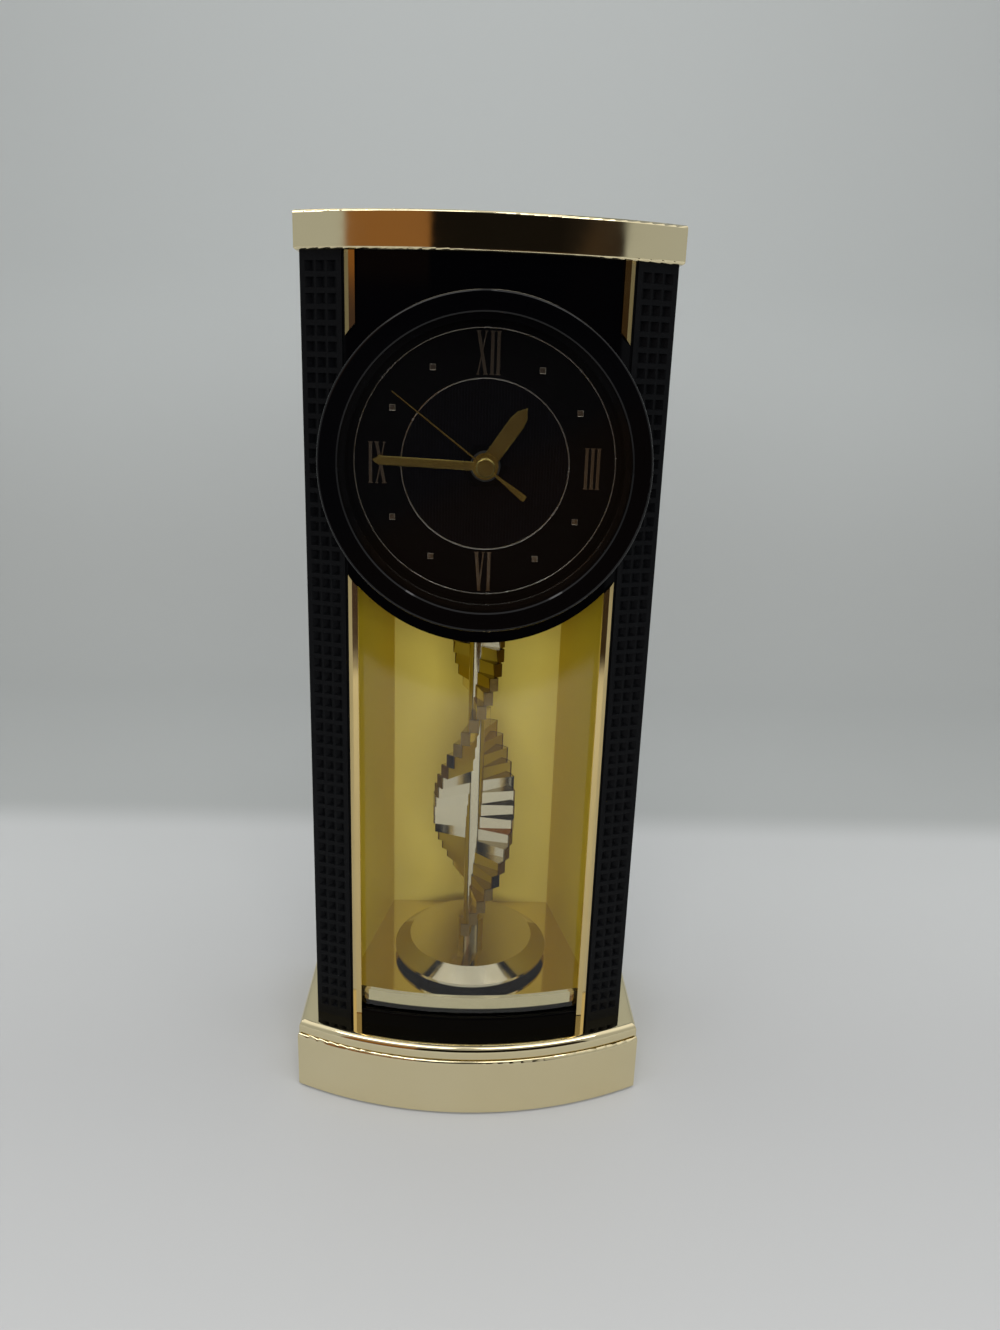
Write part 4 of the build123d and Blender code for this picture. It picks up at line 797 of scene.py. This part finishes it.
class CLOCK_OT_stage(bpy.types.Operator):
    """Sets the clock on pale card in a light tent, and places the camera"""

    bl_idname = "clock.stage"
    bl_label = "Stage"

    def execute(self, context):
        scene = context.scene
        studio = scene.desk_clock_studio
        self.card(scene, studio)
        self.tent(scene, studio)
        self.lamps(scene, studio)
        self.camera(scene)
        scene.view_settings.view_transform = "Standard"
        return {"FINISHED"}

    def card(self, scene, studio):
        """Table card that sweeps up into a backdrop behind the clock."""
        bm = bmesh.new()
        depth = CARD_BACK - CARD_FRONT
        middle = Matrix.Translation((0, CARD_FRONT + depth / 2, 0))
        shape = middle @ Matrix.Diagonal((CARD_WIDTH, depth, 1, 1))
        bmesh.ops.create_grid(bm, x_segments=1, y_segments=1, size=0.5, matrix=shape)
        rear = [e for e in bm.edges if all(v.co.y > CARD_BACK - MM for v in e.verts)]
        bmesh.ops.spin(bm, geom=rear, cent=(0, CARD_BACK, CARD_BEND), axis=(1, 0, 0), angle=math.radians(90),
                       steps=24)
        high = [e for e in bm.edges if all(v.co.z > CARD_BEND - MM for v in e.verts)]
        made = bmesh.ops.extrude_edge_only(bm, edges=high)["geom"]
        bmesh.ops.translate(bm, verts=verts_of(made), vec=(0, 0, CARD_TOP - CARD_BEND))
        bmesh.ops.recalc_face_normals(bm, faces=bm.faces[:])
        for f in bm.faces:
            f.smooth = True
        mesh = bpy.data.meshes.new("studio_card")
        bm.to_mesh(mesh)
        bm.free()
        card = bpy.data.objects.new("studio_card", mesh)
        scene.collection.objects.link(card)
        mat, tree, shader, at = start("matt_card_pale", Roughness=0.75, Specular_IOR_Level=0.2)
        axes = add(tree, "ShaderNodeSeparateXYZ", {0: at})
        share = {}
        for key, (axis, low, high) in CARD_BLENDS.items():
            share[key] = add(tree, "ShaderNodeMapRange", {0: axes.outputs[axis], 1: low, 2: high},
                             interpolation_type="SMOOTHSTEP").outputs[0]
        # painted light: the table pales towards the back
        flat = add(tree, "ShaderNodeMix", {0: share["far"], 6: studio.table, 7: studio.table_far_painted_light},
                   data_type="RGBA")
        # painted light: the backdrop pales upwards
        wall = add(tree, "ShaderNodeMix", {0: share["height"], 6: studio.wall, 7: studio.wall_high_painted_light},
                   data_type="RGBA")
        tint = add(tree, "ShaderNodeMix", {0: share["backdrop"], 6: flat.outputs[2], 7: wall.outputs[2]},
                   data_type="RGBA")
        tree.links.new(tint.outputs[2], shader.inputs["Base Color"])
        # the card thins out in front of the clock, where the tent is open
        tree.links.new(share["near"], shader.inputs["Alpha"])
        mesh.materials.append(mat)

    def tent(self, scene, studio):
        """Light tent round the clock, open towards the viewer on a dim side with a warm panel at its left."""
        world = bpy.data.worlds.new("light_tent")
        scene.world = world
        world.use_nodes = True
        tree = world.node_tree
        tree.nodes.clear()
        way = add(tree, "ShaderNodeTexCoord").outputs["Generated"]
        axes = add(tree, "ShaderNodeSeparateXYZ", {0: way})
        right, height = axes.outputs[0], axes.outputs[2]
        ahead, drop = (
            add(tree, "ShaderNodeMath", {0: away, 1: -1.0}, operation="MULTIPLY").outputs[0]
            for away in (axes.outputs[1], height)
        )
        # bearings count from the viewer's direction; the lean grows downwards and to the right
        bearing = add(tree, "ShaderNodeMath", {0: right, 1: ahead}, operation="ARCTAN2").outputs[0]
        lean = add(tree, "ShaderNodeMath", {0: right, 1: 0.5, 2: drop}, operation="MULTIPLY_ADD").outputs[0]
        measures = {"height": height, "ahead": ahead, "bearing": bearing, "lean": lean}
        share = {}
        for key, (measure, low, high, change) in TENT_BLENDS.items():
            share[key] = add(tree, "ShaderNodeMapRange", {0: measures[measure], 1: low, 2: high},
                             interpolation_type=change).outputs[0]
        tones = {key: getattr(studio, key) for key in ClockStudio.__annotations__ if key != "lamp_power"}
        for key, blend, first, last in TENT_TONES:
            tones[key] = add(tree, "ShaderNodeMix", {0: share[blend], 6: tones[first], 7: tones[last]},
                             data_type="RGBA").outputs[2]
        opening = share["opening_left"]
        for edge in ("opening_right", "opening_top"):
            before = add(tree, "ShaderNodeMath", {0: 1.0, 1: share[edge]}, operation="SUBTRACT").outputs[0]
            opening = add(tree, "ShaderNodeMath", {0: opening, 1: before}, operation="MULTIPLY").outputs[0]
        seen = add(tree, "ShaderNodeMix", {0: opening, 6: tones["walls"], 7: tones["open_side"]},
                   data_type="RGBA")
        light = add(tree, "ShaderNodeBackground", {"Color": seen.outputs[2], "Strength": 1.0})
        plain = add(tree, "ShaderNodeBackground", {"Color": studio.surround, "Strength": 1.0})
        ray = add(tree, "ShaderNodeLightPath")
        mix = add(tree, "ShaderNodeMixShader", {0: ray.outputs["Is Camera Ray"], 1: light.outputs[0],
                                                2: plain.outputs[0]})
        add(tree, "ShaderNodeOutputWorld", {"Surface": mix.outputs[0]})

    def lamps(self, scene, studio):
        """Two soft lamps high over the open side, a low fill in front and a lamp on the backdrop."""
        for name, place, aim, width, height, share, mirrored in LAMPS:
            lamp = bpy.data.lights.new(name, "AREA")
            lamp.shape = "RECTANGLE"
            lamp.size, lamp.size_y = width, height
            lamp.energy = share * studio.lamp_power
            obj = bpy.data.objects.new(name, lamp)
            scene.collection.objects.link(obj)
            obj.location = place
            obj.rotation_euler = (Vector(aim) - obj.location).to_track_quat("-Z", "Y").to_euler()
            obj.visible_glossy = mirrored

    def camera(self, scene):
        """Camera at the photograph's place and angle."""
        yaw, pitch, roll = (math.radians(a) for a in (CAMERA_YAW, CAMERA_PITCH, CAMERA_ROLL))
        ahead = Vector((math.sin(yaw) * math.cos(pitch), math.cos(yaw) * math.cos(pitch), -math.sin(pitch)))
        right = Vector((math.cos(yaw), -math.sin(yaw), 0.0))
        down = ahead.cross(right)
        turned_right = math.cos(roll) * right + math.sin(roll) * down
        turned_down = -math.sin(roll) * right + math.cos(roll) * down
        data = bpy.data.cameras.new("camera")
        data.lens = CAMERA_LENS
        data.sensor_width = 36.0
        data.clip_start = 0.01
        camera = bpy.data.objects.new("camera", data)
        scene.collection.objects.link(camera)
        turn = Matrix((turned_right, -turned_down, -ahead)).transposed().to_4x4()
        camera.matrix_world = Matrix.Translation(Vector(CAMERA_AT) * MM) @ turn
        scene.camera = camera


class CLOCK_PT_panel(bpy.types.Panel):
    """Lists the clock's sizes, colours and steps"""

    bl_idname = "CLOCK_PT_panel"
    bl_label = "Desk Clock"
    bl_space_type = "VIEW_3D"
    bl_region_type = "UI"
    bl_category = "Desk Clock"

    def draw(self, context):
        for name, group in GROUPS.items():
            box = self.layout.box()
            for key in group.__annotations__:
                box.prop(getattr(context.scene, name), key)
        for step in STEPS:
            self.layout.operator(step.bl_idname)


GROUPS = {
    "desk_clock_colours": ClockColours,
    "desk_clock_dial": ClockDial,
    "desk_clock_screws": ClockScrews,
    "desk_clock_studio": ClockStudio,
}
STEPS = (
    CLOCK_OT_finishes,
    CLOCK_OT_dial_rings,
    CLOCK_OT_dial_numerals,
    CLOCK_OT_dial_dots,
    CLOCK_OT_cover_screws,
    CLOCK_OT_stage,
)


def register():
    for cls in (*GROUPS.values(), *STEPS, CLOCK_PT_panel):
        bpy.utils.register_class(cls)
    for key, cls in GROUPS.items():
        setattr(bpy.types.Scene, key, bpy.props.PointerProperty(type=cls))


def unregister():
    for key in GROUPS:
        delattr(bpy.types.Scene, key)
    for cls in reversed((*GROUPS.values(), *STEPS, CLOCK_PT_panel)):
        bpy.utils.unregister_class(cls)


def main():
    """Registers the add-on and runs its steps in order."""
    register()
    for step in STEPS:
        group, name = step.bl_idname.split(".")
        getattr(getattr(bpy.ops, group), name)()


if __name__ == "__main__":
    main()
